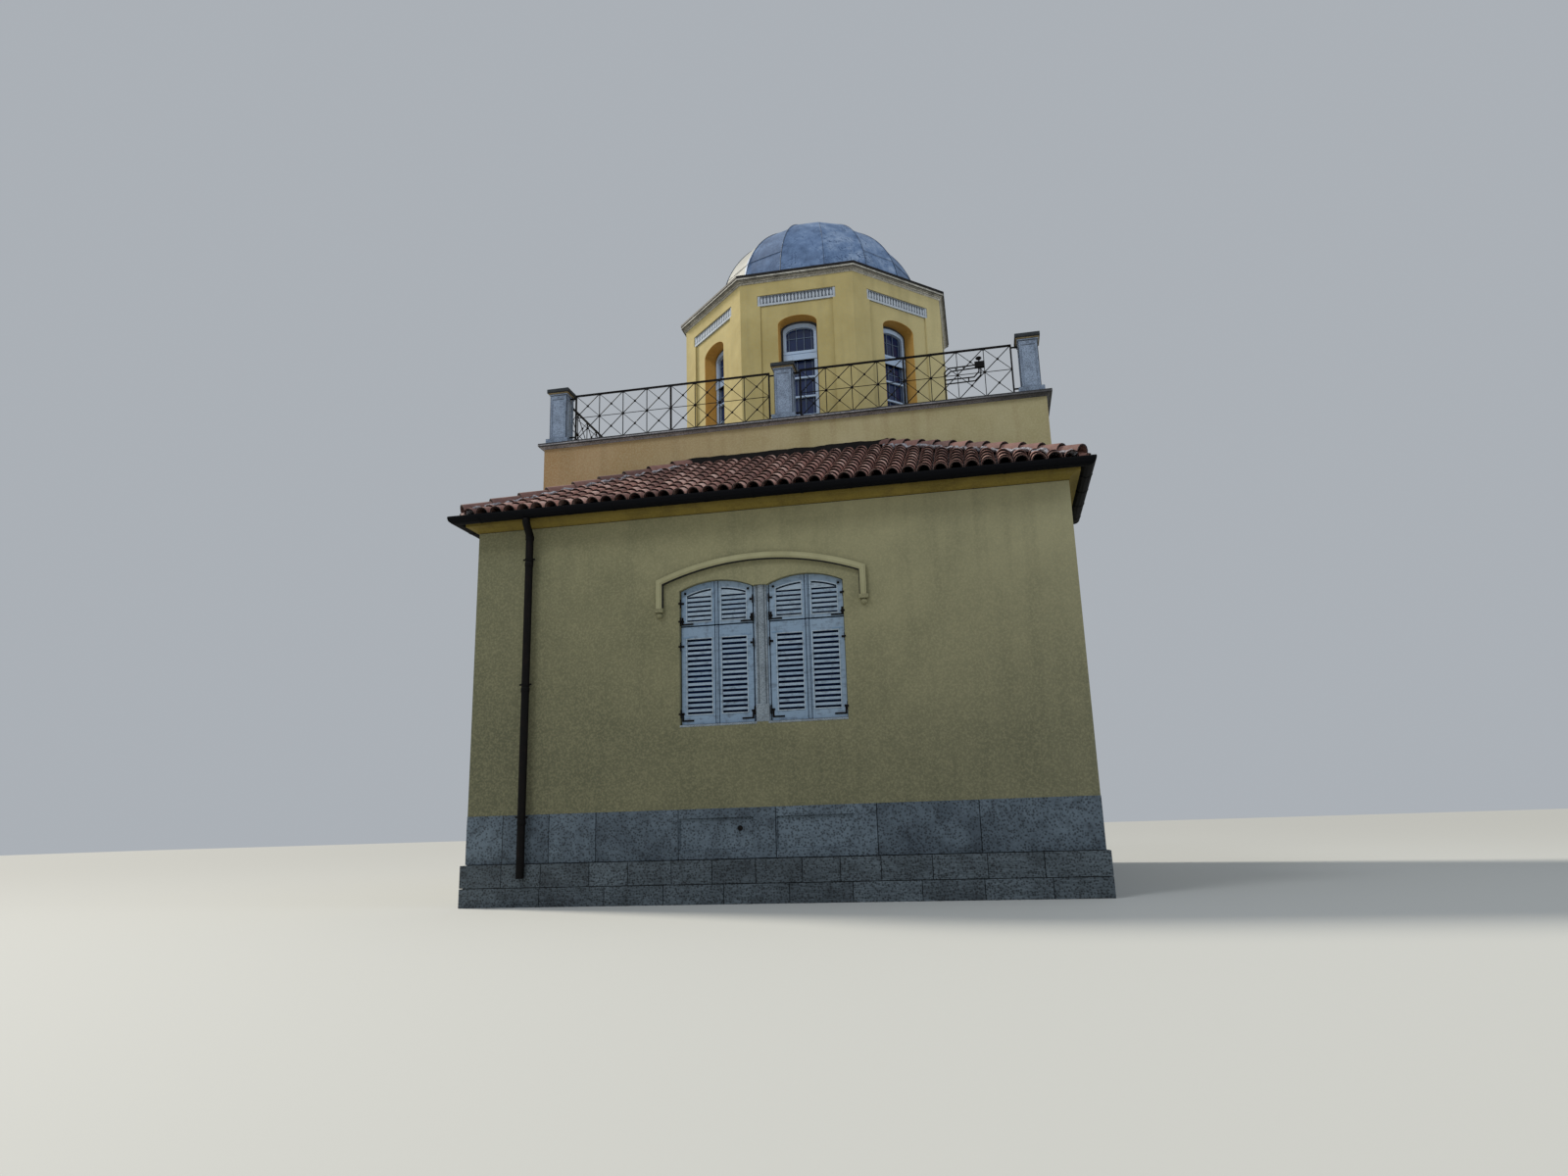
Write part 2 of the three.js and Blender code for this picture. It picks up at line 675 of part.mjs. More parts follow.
function makeDrum() {
  const inner = drumFace - drumThickness;
  const ring = [[inner, terraceTop], [drumFace, terraceTop], [drumFace, drumTop], [inner, drumTop], [inner, terraceTop]];
  const fieldShape = outline([
    [-field.halfWidth, field.foot],
    [field.halfWidth, field.foot],
    [field.halfWidth, field.top],
    [frieze.halfWidth, field.top],
    [frieze.halfWidth, frieze.top],
    [-frieze.halfWidth, frieze.top],
    [-frieze.halfWidth, field.top],
    [-field.halfWidth, field.top],
  ]);
  const recess = elevation(fieldShape, -drumFace - 50, -drumFace + field.depth);
  const hole = elevation(headedShape(drumWindow), -drumFace - 50, -inner + 50, 8);
  add("drum_wall", cut(sided(ring, 8, 22.5), ...eightTimes(recess), ...eightTimes(hole)), render);

  // The window frames form one lining behind the wall, with a raised sash and a pane behind
  // each opening.
  const out = inner - seat;
  const low = drumWindow.foot - 60;
  const high = drumWindow.crown + 60;
  const lining = [[out - frameThickness, low], [out, low], [out, high], [out - frameThickness, high], [out - frameThickness, low]];
  const frame = elevation(headedShape(sash), -out - sashProud, -out + 10, 8);
  const light = elevation(headedShape(glass), -out - 50, -out + paneDepth, 8);
  const transom = box(-drumWindow.half, drumWindow.half, -out - 60, -out + frameThickness, drumTransom.bottom, drumTransom.top);
  const lights = cut(light, transom);
  const framed = join(sided(lining, 8, 22.5), ...eightTimes(frame));
  add("drum_windows", cut(framed, ...eightTimes(lights)), whitePaint);

  const cornice = [
    [drumOpening, drumTop],
    [drumFace + 8, drumTop],
    [drumFace + 30, drumTop + 30],
    [drumFace + 34, drumTop + 46],
    [drumFace + 60, drumTop + 55],
    [drumFace + 64, drumTop + 66],
    [drumCorniceOut, drumTop + 70],
    [drumCorniceOut, drumCorniceTop],
    [drumOpening, drumCorniceTop],
    [drumOpening, drumTop],
  ];
  add("drum_cornice", sided(cornice, 8, 22.5), corniceStone);
  const deck = [
    [drumOpening, drumCorniceTop],
    [drumRoofOut, drumCorniceTop],
    [drumRoofOut, deckTop],
    [drumOpening, deckTop],
    [drumOpening, drumCorniceTop],
  ];
  add("drum_roof", sided(deck, 8, 22.5), zincSheet);
}

function roundRing(inner, outer, bottom, top) {
  const points = [[inner, bottom], [outer, bottom], [outer, top], [inner, top], [inner, bottom]];
  const profile = points.map(([r, z]) => new THREE.Vector2(r, z));
  return new THREE.LatheGeometry(profile, 32).rotateX(Math.PI / 2);
}

function domeArc(radius, fromAngle, toAngle) {
  const points = [];
  for (let i = 0; i <= arcSteps; i += 1) {
    const a = THREE.MathUtils.degToRad(fromAngle + ((toAngle - fromAngle) * i) / arcSteps);
    points.push([radius * Math.sin(a), domeBase + radius * Math.cos(a)]);
  }
  return points;
}

function makeDome() {
  const trackTop = deckTop + trackHeight;
  add("dome_track", roundRing(trackInner, trackOuter, deckTop, trackTop), blackIron);
  add("dome_ring", roundRing(trackInner, trackOuter, trackTop + seat, domeBase - seat), blackIron);

  const flat = Math.cos(Math.PI / domeSides);
  const skirtInner = trackOuter + 10;
  const outer = domeArc(domeRadius * flat, 90, 0);
  outer[arcSteps][0] = 0;
  const inner = domeArc((domeRadius - domeSheet) * flat, 0, 90);
  inner[0][0] = 0;
  const foot = domeBase - domeSkirt;
  const shellSolid = toSolid(sided([[0, foot], [domeRadius * flat, foot], ...outer], domeSides, firstSeam));
  const hollow = toSolid(sided([[0, foot - 10], [inner[arcSteps][0], foot - 10], ...[...inner].reverse()], domeSides, firstSeam));
  const skirtHollow = toSolid(sided([[0, foot - 20], [skirtInner, foot - 20], [skirtInner, domeBase], [0, domeBase]], domeSides, firstSeam));
  add("dome_shell", toGeometry(shellSolid.subtract(hollow).subtract(skirtHollow)), zincSheet);

  const coverOut = domeArc((domeRadius + coverHeight) * flat, 90, 0);
  coverOut[arcSteps][0] = 0;
  const coverSolid = toSolid(sided([[0, foot], [(domeRadius + coverHeight) * flat, foot], ...coverOut], domeSides, firstSeam));
  const gap = domeArc((domeRadius + seat) * flat, 90, 0);
  gap[arcSteps][0] = 0;
  const gapSolid = toSolid(sided([[0, foot - 10], [(domeRadius + seat) * flat, foot - 10], ...gap], domeSides, firstSeam));
  const step = (2 * Math.PI) / domeSides;
  const seam = THREE.MathUtils.degToRad(firstSeam) - Math.PI / 2;
  const reach = 2 * domeRadius;
  const keep = [-1, 0, 1].map((k) => [reach * Math.cos(seam + k * step), reach * Math.sin(seam + k * step)]);
  const near = domeRadius * Math.sin(THREE.MathUtils.degToRad(coverTopAngle));
  const nearPoint = (k) => [near * Math.cos(seam + k * step), near * Math.sin(seam + k * step)];
  const wedge = new THREE.ExtrudeGeometry(outline([nearPoint(-1), ...keep, nearPoint(1), nearPoint(0)]), {
    depth: 3 * domeRadius,
    bevelEnabled: false,
  }).translate(0, 0, domeBase - domeRadius);
  add("slit_cover", toGeometry(coverSolid.subtract(gapSolid).intersect(toSolid(wedge))), zincSheet);
}

makePlinth();
makeFloors();
makeWalls();
makeWindows();
makeRoof();
makeEaves();
makeDownpipe();
makeTerraceEdge();
makeRailings();
makeRailingBracket();
makeDrum();
makeDome();

export default building;
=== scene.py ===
# %% [markdown]
# # A small observatory, finished in Blender
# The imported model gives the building's walls, roof slabs, drum and dome in metres. This lesson
# keeps those solids as the frame and adds what a mason, a roofer, a joiner and a tinsmith would
# add: stone courses, clay tiles, louvred shutters, iron lattice, glazing bars and sheet seams.

# %% Load the frame
import math
import random

import bmesh
import bpy
from mathutils import Matrix, Vector, noise


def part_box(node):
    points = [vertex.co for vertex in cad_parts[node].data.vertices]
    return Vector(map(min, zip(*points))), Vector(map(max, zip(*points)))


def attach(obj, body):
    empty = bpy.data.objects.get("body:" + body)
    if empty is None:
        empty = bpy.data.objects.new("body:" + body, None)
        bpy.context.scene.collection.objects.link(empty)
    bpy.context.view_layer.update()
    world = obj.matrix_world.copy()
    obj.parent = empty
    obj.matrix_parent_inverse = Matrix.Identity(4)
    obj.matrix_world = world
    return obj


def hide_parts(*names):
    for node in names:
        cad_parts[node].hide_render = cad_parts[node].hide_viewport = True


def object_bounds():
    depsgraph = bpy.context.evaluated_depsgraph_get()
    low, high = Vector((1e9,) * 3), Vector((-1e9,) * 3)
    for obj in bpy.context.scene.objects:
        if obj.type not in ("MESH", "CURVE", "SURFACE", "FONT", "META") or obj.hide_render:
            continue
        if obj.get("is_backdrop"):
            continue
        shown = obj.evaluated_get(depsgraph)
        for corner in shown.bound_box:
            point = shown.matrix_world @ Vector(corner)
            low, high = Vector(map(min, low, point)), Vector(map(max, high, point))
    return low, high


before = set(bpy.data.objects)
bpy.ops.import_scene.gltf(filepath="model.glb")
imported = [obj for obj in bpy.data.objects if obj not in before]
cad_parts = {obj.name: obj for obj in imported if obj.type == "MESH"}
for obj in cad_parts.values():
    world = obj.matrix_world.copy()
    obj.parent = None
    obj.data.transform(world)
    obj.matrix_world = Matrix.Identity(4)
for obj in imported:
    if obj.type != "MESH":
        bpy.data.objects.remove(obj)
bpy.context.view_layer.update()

# %% [markdown]
# ## The building's own measures
# Most pieces repeat around the dome's upright axis, on four sides or on eight faces. So every
# piece is drawn as if it stood on the front side, measured from that axis, and is then turned to
# its side. The measures come from the solids themselves, so a piece always meets its wall.

# %% Measures from the solids
drum_low, drum_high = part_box("drum_wall")
AXIS_Y = (drum_low[1] + drum_high[1]) / 2
DRUM_FACE = (drum_high[0] - drum_low[0]) / 2
BLOCK_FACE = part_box("front_wall")[1][0]
WING_FACE = AXIS_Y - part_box("front_window_post")[0][1] + 0.020
PLINTH_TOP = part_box("front_plinth")[1][2]
SIDES = {"front": 0, "right": math.pi / 2, "back": math.pi, "left": -math.pi / 2}
FACES = {side: WING_FACE if side == "front" else BLOCK_FACE for side in SIDES}
print("axis y", round(AXIS_Y, 4), "drum", round(DRUM_FACE, 4), "block", BLOCK_FACE, "wing", WING_FACE)

# %% [markdown]
# ## Helpers for shapes
# A mesh is a list of points and a list of faces. One small class collects them, with a tone for
# each part so that no two stones or tiles need look alike. Boxes, prisms, tubes and turned
# shapes cover nearly everything a builder cuts, casts or bends.

# %% Collect points and faces
def grid_faces(across, up):
    """Faces of a grid with so many cells across and up, whose points run row by row."""
    starts = [k * (across + 1) + i for k in range(up) for i in range(across)]
    return [(a, a + 1, a + across + 2, a + across + 1) for a in starts]


def between(origin, hand, near, far):
    """Two distances from an origin, towards one hand or the other, as positions in rising order."""
    return sorted((origin + hand * near, origin + hand * far))


class Shape:
    def __init__(self):
        self.points = []
        self.faces = []
        self.tones = []

    def add(self, points, faces, tone=0.5):
        first = len(self.points)
        self.points += [tuple(p) for p in points]
        self.faces += [tuple(first + i for i in face) for face in faces]
        self.tones += [tone] * len(points)

    def box(self, x, y, z, tone=0.5):
        points = [(x[i], y[j], z[k]) for k in (0, 1) for j in (0, 1) for i in (0, 1)]
        faces = [(0, 2, 3, 1), (4, 5, 7, 6), (0, 1, 5, 4), (2, 6, 7, 3), (0, 4, 6, 2), (1, 3, 7, 5)]
        self.add(points, faces, tone)

    def prism(self, outline, y_front, y_back, tone=0.5):
        """A front outline of (x, z) points, anticlockwise, made solid from front to back."""
        n = len(outline)
        points = [(x, y_front, z) for x, z in outline] + [(x, y_back, z) for x, z in outline]
        faces = [tuple(range(n)), tuple(range(2 * n - 1, n - 1, -1))]
        faces += [((i + 1) % n, i, n + i, n + (i + 1) % n) for i in range(n)]
        self.add(points, faces, tone)

    def tube(self, path, radius, sides=8, tone=0.5, squash=1.0):
        """A rod bent along a path. Its section is a circle, or flatter where squash is under 1."""
        path = [Vector(p) for p in path]
        rings = []
        for i, point in enumerate(path):
            ahead = path[min(i + 1, len(path) - 1)] - path[max(i - 1, 0)]
            ahead.normalize()
            up = Vector((0, 0, 1)) if abs(ahead.z) < 0.9 else Vector((0, 1, 0))
            across = ahead.cross(up).normalized()
            over = across.cross(ahead)
            for s in range(sides):
                a = 2 * math.pi * s / sides
                rings.append(point + across * (radius * math.cos(a)) + over * (radius * squash * math.sin(a)))
        faces = [tuple(range(sides)), tuple(range(len(rings) - 1, len(rings) - sides - 1, -1))]
        for i in range(len(path) - 1):
            for s in range(sides):
                a, b = i * sides + s, i * sides + (s + 1) % sides
                faces.append((b, a, a + sides, b + sides))
        self.add(rings, faces, tone)

    def turned(self, centre, profile, count=16, start=0.0, tone=0.5):
        """A shape turned about an upright axis; the profile is (radius, height) from low to high."""
        points = []
        for radius, z in profile:
            for s in range(count):
                a = start + 2 * math.pi * s / count
                points.append((centre[0] + radius * math.cos(a), centre[1] + radius * math.sin(a), z))
        faces = [tuple(range(count - 1, -1, -1)), tuple(range(len(points) - count, len(points)))]
        for i in range(len(profile) - 1):
            for s in range(count):
                a, b = i * count + s, i * count + (s + 1) % count
                faces.append((a, b, b + count, a + count))
        self.add(points, faces, tone)

    def ball(self, centre, radius):
        steps = [math.pi * i / 6 for i in range(1, 6)]
        profile = [(radius * math.sin(a), centre[2] - radius * math.cos(a)) for a in steps]
        self.turned(centre, profile, 8)


# %% [markdown]
# ## From a shape to a piece
# A real edge is never perfectly sharp: a stone's arris is rubbed, a board's edge is eased. A
# narrow bevel catches the light there. Each finished piece is turned to its side and rides on
# one of the two bodies, the building or the dome.

# %% Make a piece
def mesh_of(name, shape, finish, bevel=0.0, smooth_angle=35, cuts=(), merge=0.0):
    """The shape as a mesh: bevelled, cut off beyond each plane, and points closer than merge joined."""
    mesh = bmesh.new()
    layer = mesh.verts.layers.float.new("tone")
    verts = [mesh.verts.new(p) for p in shape.points]
    for vert, tone in zip(verts, shape.tones):
        vert[layer] = tone
    for face in shape.faces:
        mesh.faces.new([verts[i] for i in face])
    if bevel:
        bmesh.ops.bevel(mesh, geom=mesh.edges[:], offset=bevel, segments=1, affect="EDGES", profile=0.6,
                        clamp_overlap=True)
    for point, outward in cuts:
        geometry = mesh.verts[:] + mesh.edges[:] + mesh.faces[:]
        bmesh.ops.bisect_plane(mesh, geom=geometry, plane_co=point, plane_no=outward, clear_outer=True,
                               dist=1e-5)
    if merge:
        bmesh.ops.remove_doubles(mesh, verts=mesh.verts[:], dist=merge)
    data = bpy.data.meshes.new(name)
    bmesh.ops.recalc_face_normals(mesh, faces=mesh.faces[:])
    mesh.to_mesh(data)
    mesh.free()
    data.shade_smooth()
    data.set_sharp_from_angle(angle=math.radians(smooth_angle))
    data.materials.append(finish)
    return data


def piece(name, data, body="building", turn=0.0, offset=(0, 0, 0)):
    made = bpy.data.objects.new(name, data)
    bpy.context.scene.collection.objects.link(made)
    made.matrix_world = (Matrix.Translation((0, AXIS_Y, 0)) @ Matrix.Rotation(turn, 4, "Z")
                         @ Matrix.Translation(offset))
    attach(made, body)
    return made


def make(name, shape, finish, bevel=0.0, body="building", turn=0.0, **more):
    data = mesh_of(name, shape, finish, bevel, **more)
    made = piece(name, data, body, turn)
    print(name, "faces", len(data.polygons))
    return made


# %% [markdown]
# ## Helpers for finishes
# Colours are written as sRGB hex values, as on a paint card, and Blender wants linear numbers,
# so one function converts them. A second one adds a shader node with its settings and links.

# %% Colour and nodes
def linear(hex_colour):
    channels = [int(hex_colour[i:i + 2], 16) / 255 for i in (1, 3, 5)]
    low_limit = 0.04045
    return [c / 12.92 if c <= low_limit else ((c + 0.055) / 1.055) ** 2.4 for c in channels] + [1.0]


def add(tree, kind, links=None, **settings):
    node = tree.nodes.new(kind)
    for name, value in settings.items():
        setattr(node, name, value)
    for key, value in (links or {}).items():
        if isinstance(value, bpy.types.NodeSocket):
            tree.links.new(value, node.inputs[key])
        else:
            node.inputs[key].default_value = value
    return node


def start_finish(name, roughness, metallic=0.0):
    """A material with its surface shader, and the place on the piece in metres."""
    material = bpy.data.materials.new(name)
    material.use_nodes = True
    tree = material.node_tree
    surface = tree.nodes["Principled BSDF"]
    surface.inputs["Roughness"].default_value = roughness
    surface.inputs["Metallic"].default_value = metallic
    place = add(tree, "ShaderNodeTexCoord").outputs["Object"]
    return material, tree, surface, place


# %% [markdown]
# Every finish is built from the same few steps. Noise gives clouds and streaks, and cells give
# pits and spots. A map range turns either into a mask, and a mix lays one colour over another
# through it. A ramp turns a number into a colour. The tone is a stone's or a tile's own number.

# %% Steps of a finish
def noise_at(tree, place, scale, detail, roughness=0.5, distortion=0.0):
    links = {"Vector": place, "Scale": scale, "Detail": detail, "Roughness": roughness,
             "Distortion": distortion}
    return add(tree, "ShaderNodeTexNoise", links).outputs["Fac"]


def cells_at(tree, place, scale):
    links = {"Vector": place, "Scale": scale, "Randomness": 1.0}
    return add(tree, "ShaderNodeTexVoronoi", links).outputs["Distance"]


def stretched(tree, place, scale, rotation=(0.0, 0.0, 0.0)):
    links = {"Vector": place, "Rotation": rotation, "Scale": scale}
    return add(tree, "ShaderNodeMapping", links).outputs["Vector"]


def remap(tree, value, from_min, from_max, to_min=0.0, to_max=1.0):
    links = {"Value": value, "From Min": from_min, "From Max": from_max, "To Min": to_min, "To Max": to_max}
    return add(tree, "ShaderNodeMapRange", links).outputs["Result"]


def calculate(tree, operation, *values):
    return add(tree, "ShaderNodeMath", dict(enumerate(values)), operation=operation).outputs["Value"]


def mix(tree, factor, below, above):
    """One colour over another; each is a hex value or comes from a node."""
    a, b = (linear(colour) if isinstance(colour, str) else colour for colour in (below, above))
    return add(tree, "ShaderNodeMix", {"Factor": factor, "A": a, "B": b}, data_type="RGBA").outputs["Result"]


def ramp(tree, value, *stops):
    """A colour that follows a number; each stop is a number from 0 to 1 and a hex value."""
    node = add(tree, "ShaderNodeValToRGB", {"Fac": value})
    elements = node.color_ramp.elements
    elements[0].position, elements[1].position = stops[0][0], stops[-1][0]
    for position, _ in stops[1:-1]:
        elements.new(position)
    for element, (_, hex_colour) in zip(elements, stops):
        element.color = linear(hex_colour)
    return node.outputs["Color"]


def tone_of(tree):
    return add(tree, "ShaderNodeAttribute", attribute_name="tone").outputs["Fac"]


def part_of(tree, vector, axis):
    return add(tree, "ShaderNodeSeparateXYZ", {"Vector": vector}).outputs[axis]


def dress(tree, surface, colour, height, strength, distance):
    """Gives the surface its colour, and a relief of so many metres."""
    tree.links.new(colour, surface.inputs["Base Color"])
    bump = add(tree, "ShaderNodeBump", {"Height": height, "Strength": strength, "Distance": distance})
    tree.links.new(bump.outputs["Normal"], surface.inputs["Normal"])


# %% [markdown]
# ## Lime render, coloured ochre
# The walls are rubble or brick under lime render, thrown on, floated with sand and washed with
# ochre. The wash is grey-green on the low walls and yellow higher up; the grey-green is partly
# dampness and partly painted shade. It is never even: painted shade darkens the walls towards the
# ground and greens the low walls towards the left, where the upper walls turn deep orange, and
# painted light pales the walls towards the right. Over that lie cloudy patches a half metre across,
# faint runs of rain, and grains of sand. The grain, really 2 mm, is drawn at 12 mm so that it
# shows. Where the coved eaves meet the wall a thin dark line is painted along the crease.

# %% Lime render
LOW_WALL_SHADE_FROM, DAMP_AND_SHADE_TOP, DRY_FROM = 2.0, 5.2, 6.4
COVE_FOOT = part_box("front_cove")[0][2]
LOW_WALL_SHADE, COVE_CREASE_LINE = "#4a4c3b", "#2b2618"


def across_x(tree, place, x_from, x_to, amount):
    """How far a spot lies towards one side of the building: 0 at x_from, the amount at x_to."""
    return remap(tree, part_of(tree, place, "X"), x_from, x_to, 0.0, amount)


def lime_render(name, damp_and_shade, dry, rain, sand, streak=0.35, crease_height=-1.0, sides=()):
    """Render with tones for the low walls, darkened by dampness and painted shade, and for the dry upper
    ones.
    """
    material, tree, surface, place = start_finish(name, roughness=0.93)
    clouds = noise_at(tree, place, 1.3, 5.0, 0.62)
    bodies = [ramp(tree, clouds, (0.34, low), (0.68, high)) for low, high in (damp_and_shade, dry)]
    # Each side entry tints the walls across x: painted shade towards the left, painted light towards the
    # right.
    for x_from, x_to, amount, *light_and_shade_tints in sides:
        side_light_and_shade = across_x(tree, place, x_from, x_to, amount)
        bodies = [mix(tree, side_light_and_shade, body, tint) for body, tint in zip(bodies, light_and_shade_tints)]
    height = part_of(tree, place, "Z")
    body = mix(tree, remap(tree, height, DAMP_AND_SHADE_TOP, DRY_FROM), *bodies)
    runs = noise_at(tree, stretched(tree, place, (5.0, 5.0, 0.45)), 1.0, 4.0)
    washed = mix(tree, remap(tree, runs, 0.5, 0.78, 0.0, streak), body, rain)
    # Painted shade: the walls grow darker towards the ground.
    low_wall_shaded = mix(tree, remap(tree, height, LOW_WALL_SHADE_FROM, DAMP_AND_SHADE_TOP, 0.6, 0.0), washed, LOW_WALL_SHADE)
    speckle = noise_at(tree, place, 38.0, 3.0)
    sanded = mix(tree, remap(tree, speckle, 0.42, 0.68, 0.0, 0.3), low_wall_shaded, sand)
    waver = calculate(tree, "MULTIPLY_ADD", clouds, 0.012, height)
    # A thin dark line is painted along the crease where the cove meets the wall.
    colour = mix(tree, calculate(tree, "COMPARE", waver, crease_height, 0.005), sanded, COVE_CREASE_LINE)
    grain = noise_at(tree, place, 85.0, 2.0)
    floated = noise_at(tree, place, 3.5, 3.0)
    dress(tree, surface, colour, calculate(tree, "MULTIPLY_ADD", floated, 4.0, grain), 0.35, 0.006)
    return material


DAMP_AND_SHADE, RAIN, SAND = ("#838060", "#9a9571"), "#5d5d48", "#a7a17c"
# The left tint darkens and greens the low walls as painted shade and turns the upper walls deep orange; the
# right tints pale the walls as painted light.
LEFT_SHADE_AND_TINT = (0.6, -4.2, 0.6, "#5c5e48", "#97653e")
RIGHT_LIGHT = (0.0, 4.2, 0.5, "#9e9a7c", "#9c9773")
DRUM_RIGHT_LIGHT = (0.6, 2.4, 0.5, "#9e9a7c", "#c9bf95")
# The cove's tones are darker than the walls', partly as painted shade under the eaves.
WARM, COVE_SHADE = ("#b98d40", "#c89c50"), ("#6a5c20", "#7e6d2d")
front_render = lime_render("damp_and_shaded_lime_render", DAMP_AND_SHADE, DAMP_AND_SHADE, RAIN, SAND, 0.3, COVE_FOOT + 0.004,
                           ((*LEFT_SHADE_AND_TINT[:4], LEFT_SHADE_AND_TINT[3]), (*RIGHT_LIGHT[:4], RIGHT_LIGHT[3])))
wall_render = lime_render("weathered_lime_render", DAMP_AND_SHADE, ("#a0946a", "#b0a580"), "#86704c", "#bdb592", 0.55,
                          sides=(LEFT_SHADE_AND_TINT, RIGHT_LIGHT))
ochre_render = lime_render("ochre_lime_render", DAMP_AND_SHADE, ("#a99861", "#bbab74"), "#8a7f58", SAND, 0.35,
                           sides=(DRUM_RIGHT_LIGHT,))
# The label face's paler tones are painted light.
label_light_render = lime_render("label_painted_light_render", ("#9d9975", "#b3af8a"), ("#b0a47d", "#c1b692"), RAIN, SAND,
                           0.2)
warm_render = lime_render("deep_ochre_render", WARM, WARM, "#9d7838", "#d9b068", 0.2)
cove_render = lime_render("shaded_cove_lime_render", COVE_SHADE, COVE_SHADE, "#4a3d17", "#8f7d3d", 0.5)
print("render finishes:", ochre_render.name, warm_render.name)

# %% [markdown]
# ## Cut stone
# The plinth and piers are grey limestone, dressed with a point, and the cornices a browner
# stone. Cut stone varies from block to block, so each block's own tone moves its colour, with
# weather stains at hand size over it and pecked tool marks one to three centimetres apart.
# Tooled stone also has slanted strokes.

# %% Cut stone
PIT_SHADE = 0.75


def cut_stone(name, dark, light, stain, pecks=60.0, depth=0.004, stain_amount=0.5, tooled=0.0):
    material, tree, surface, place = start_finish(name, roughness=0.88)
    clouds = noise_at(tree, place, 2.6, 6.0, 0.65)
    mixed = calculate(tree, "MULTIPLY_ADD", tone_of(tree), 0.55, clouds)
    patches = noise_at(tree, place, 7.0, 5.0, 0.7)
    stained = mix(tree, remap(tree, patches, 0.5, 0.75, 0.0, stain_amount),
                  ramp(tree, mixed, (0.45, dark), (1.0, light)), stain)
    marks = cells_at(tree, place, pecks)
    pitted = mix(tree, remap(tree, marks, 0.2, 0.55, PIT_SHADE, 0.0), stained, stain)
    rough = calculate(tree, "MULTIPLY_ADD", patches, 1.5, marks)
    if tooled:
        slanted = stretched(tree, place, (7.0, 7.0, 30.0), (0.0, 0.7, 0.0))
        rough = calculate(tree, "MULTIPLY_ADD", noise_at(tree, slanted, 1.0, 3.0), tooled, rough)
    dress(tree, surface, pitted, rough, 0.5, depth)
    return material


plinth_limestone = cut_stone("pointed_limestone", "#353f49", "#66747f", "#171b20", 32.0, 0.006, 0.6)
foot_limestone = cut_stone("tooled_limestone", "#2f363b", "#626d74", "#121517", 32.0, 0.012, 0.6, tooled=5.0)
# The rubbed limestone's blue cast is partly the blue of sky light in shade, painted into the stone.
pier_limestone = cut_stone("rubbed_limestone", "#535f70", "#92a2b8", "#39424f", 70.0, 0.003, 0.7)
window_stone = cut_stone("window_limestone", "#59636c", "#8c97a0", "#434a50", 70.0, 0.003, 0.6)
moulding_stone = cut_stone("ochre_stained_limestone", "#6b6248", "#a09270", "#3f3929", 70.0, 0.002, 0.6)
sooty_limestone = cut_stone("sooty_limestone", "#161a1d", "#30373c", "#0c0e0f", 70.0, 0.002, 0.6)
# Blackened dirt on ledges, and painted shade in grooves, under mouldings and under the label.
black_crust_and_shade = cut_stone("black_crust_and_shade", "#0c0d0e", "#1d1f22", "#060606", 70.0, 0.002)
lime_mortar = cut_stone("lime_mortar", "#1b1e20", "#33383b", "#121415", 90.0, 0.003)
roof_mortar = cut_stone("roof_mortar", "#504f56", "#b3b1b7", "#2f2d32", 30.0, 0.006, 0.9)
terrace_screed = cut_stone("terrace_screed", "#6f6b64", "#8e8a82", "#56524c", 45.0, 0.002)

# %% [markdown]
# The cornices are stained by their own drip: black along the top edge where water stands, and
# paler on the upright face that rain washes. A thin black line under each moulding and a dark band
# on the terrace cornice's shaded underside are painted shade, with some dirt. So dirt and painted
# shade are placed by height, as bands measured up from the cornice's foot. The level top is only
# greyed, which the surface's own direction tells.

# %% Stained cornices
BAND_BLUR, RAMP_END = 0.02, 0.99


def stained_and_shaded_cornice(name, node, dark, light, bands, right_soot=0.0):
    """Stone with bands of dirt and painted shade; each band is (from, to, how dark) in metres over the foot.
    """
    material = cut_stone(name, dark, light, "#45423d", 50.0, 0.004, 0.7)
    tree = material.node_tree
    base_colour = tree.nodes["Principled BSDF"].inputs["Base Color"]
    stone_colour = base_colour.links[0].from_socket
    low, high = (corner[2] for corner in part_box(node))
    place = add(tree, "ShaderNodeTexCoord").outputs["Object"]
    drift = noise_at(tree, place, 6.0, 3.0)
    wavering = calculate(tree, "MULTIPLY_ADD", drift, 0.006, part_of(tree, place, "Z"))
    wash = add(tree, "ShaderNodeValToRGB", {"Fac": remap(tree, wavering, low + 0.003, high + 0.003)})
    elements = wash.color_ramp.elements
    elements[1].color = (0, 0, 0, 1)
    for start, end, shade in bands:
        start, end = start / (high - low), end / (high - low)
        for position, value in ((start - BAND_BLUR, 0), (start, shade), (end, shade), (end + BAND_BLUR, 0)):
            if 0 < position < RAMP_END:
                elements.new(position).color = (value, value, value, 1)
        if end > RAMP_END:
            elements[-1].color = (shade, shade, shade, 1)
    facing = part_of(tree, add(tree, "ShaderNodeNewGeometry").outputs["Normal"], "Z")
    banded = calculate(tree, "MULTIPLY", wash.outputs["Color"], remap(tree, facing, 0.3, 0.9, 1.0, 0.35))
    dirt_and_shade = calculate(tree, "MAXIMUM", banded, across_x(tree, place, 2.2, 4.0, right_soot))
    tree.links.new(mix(tree, dirt_and_shade, stone_colour, "#1d1f22"), base_colour)
    return material


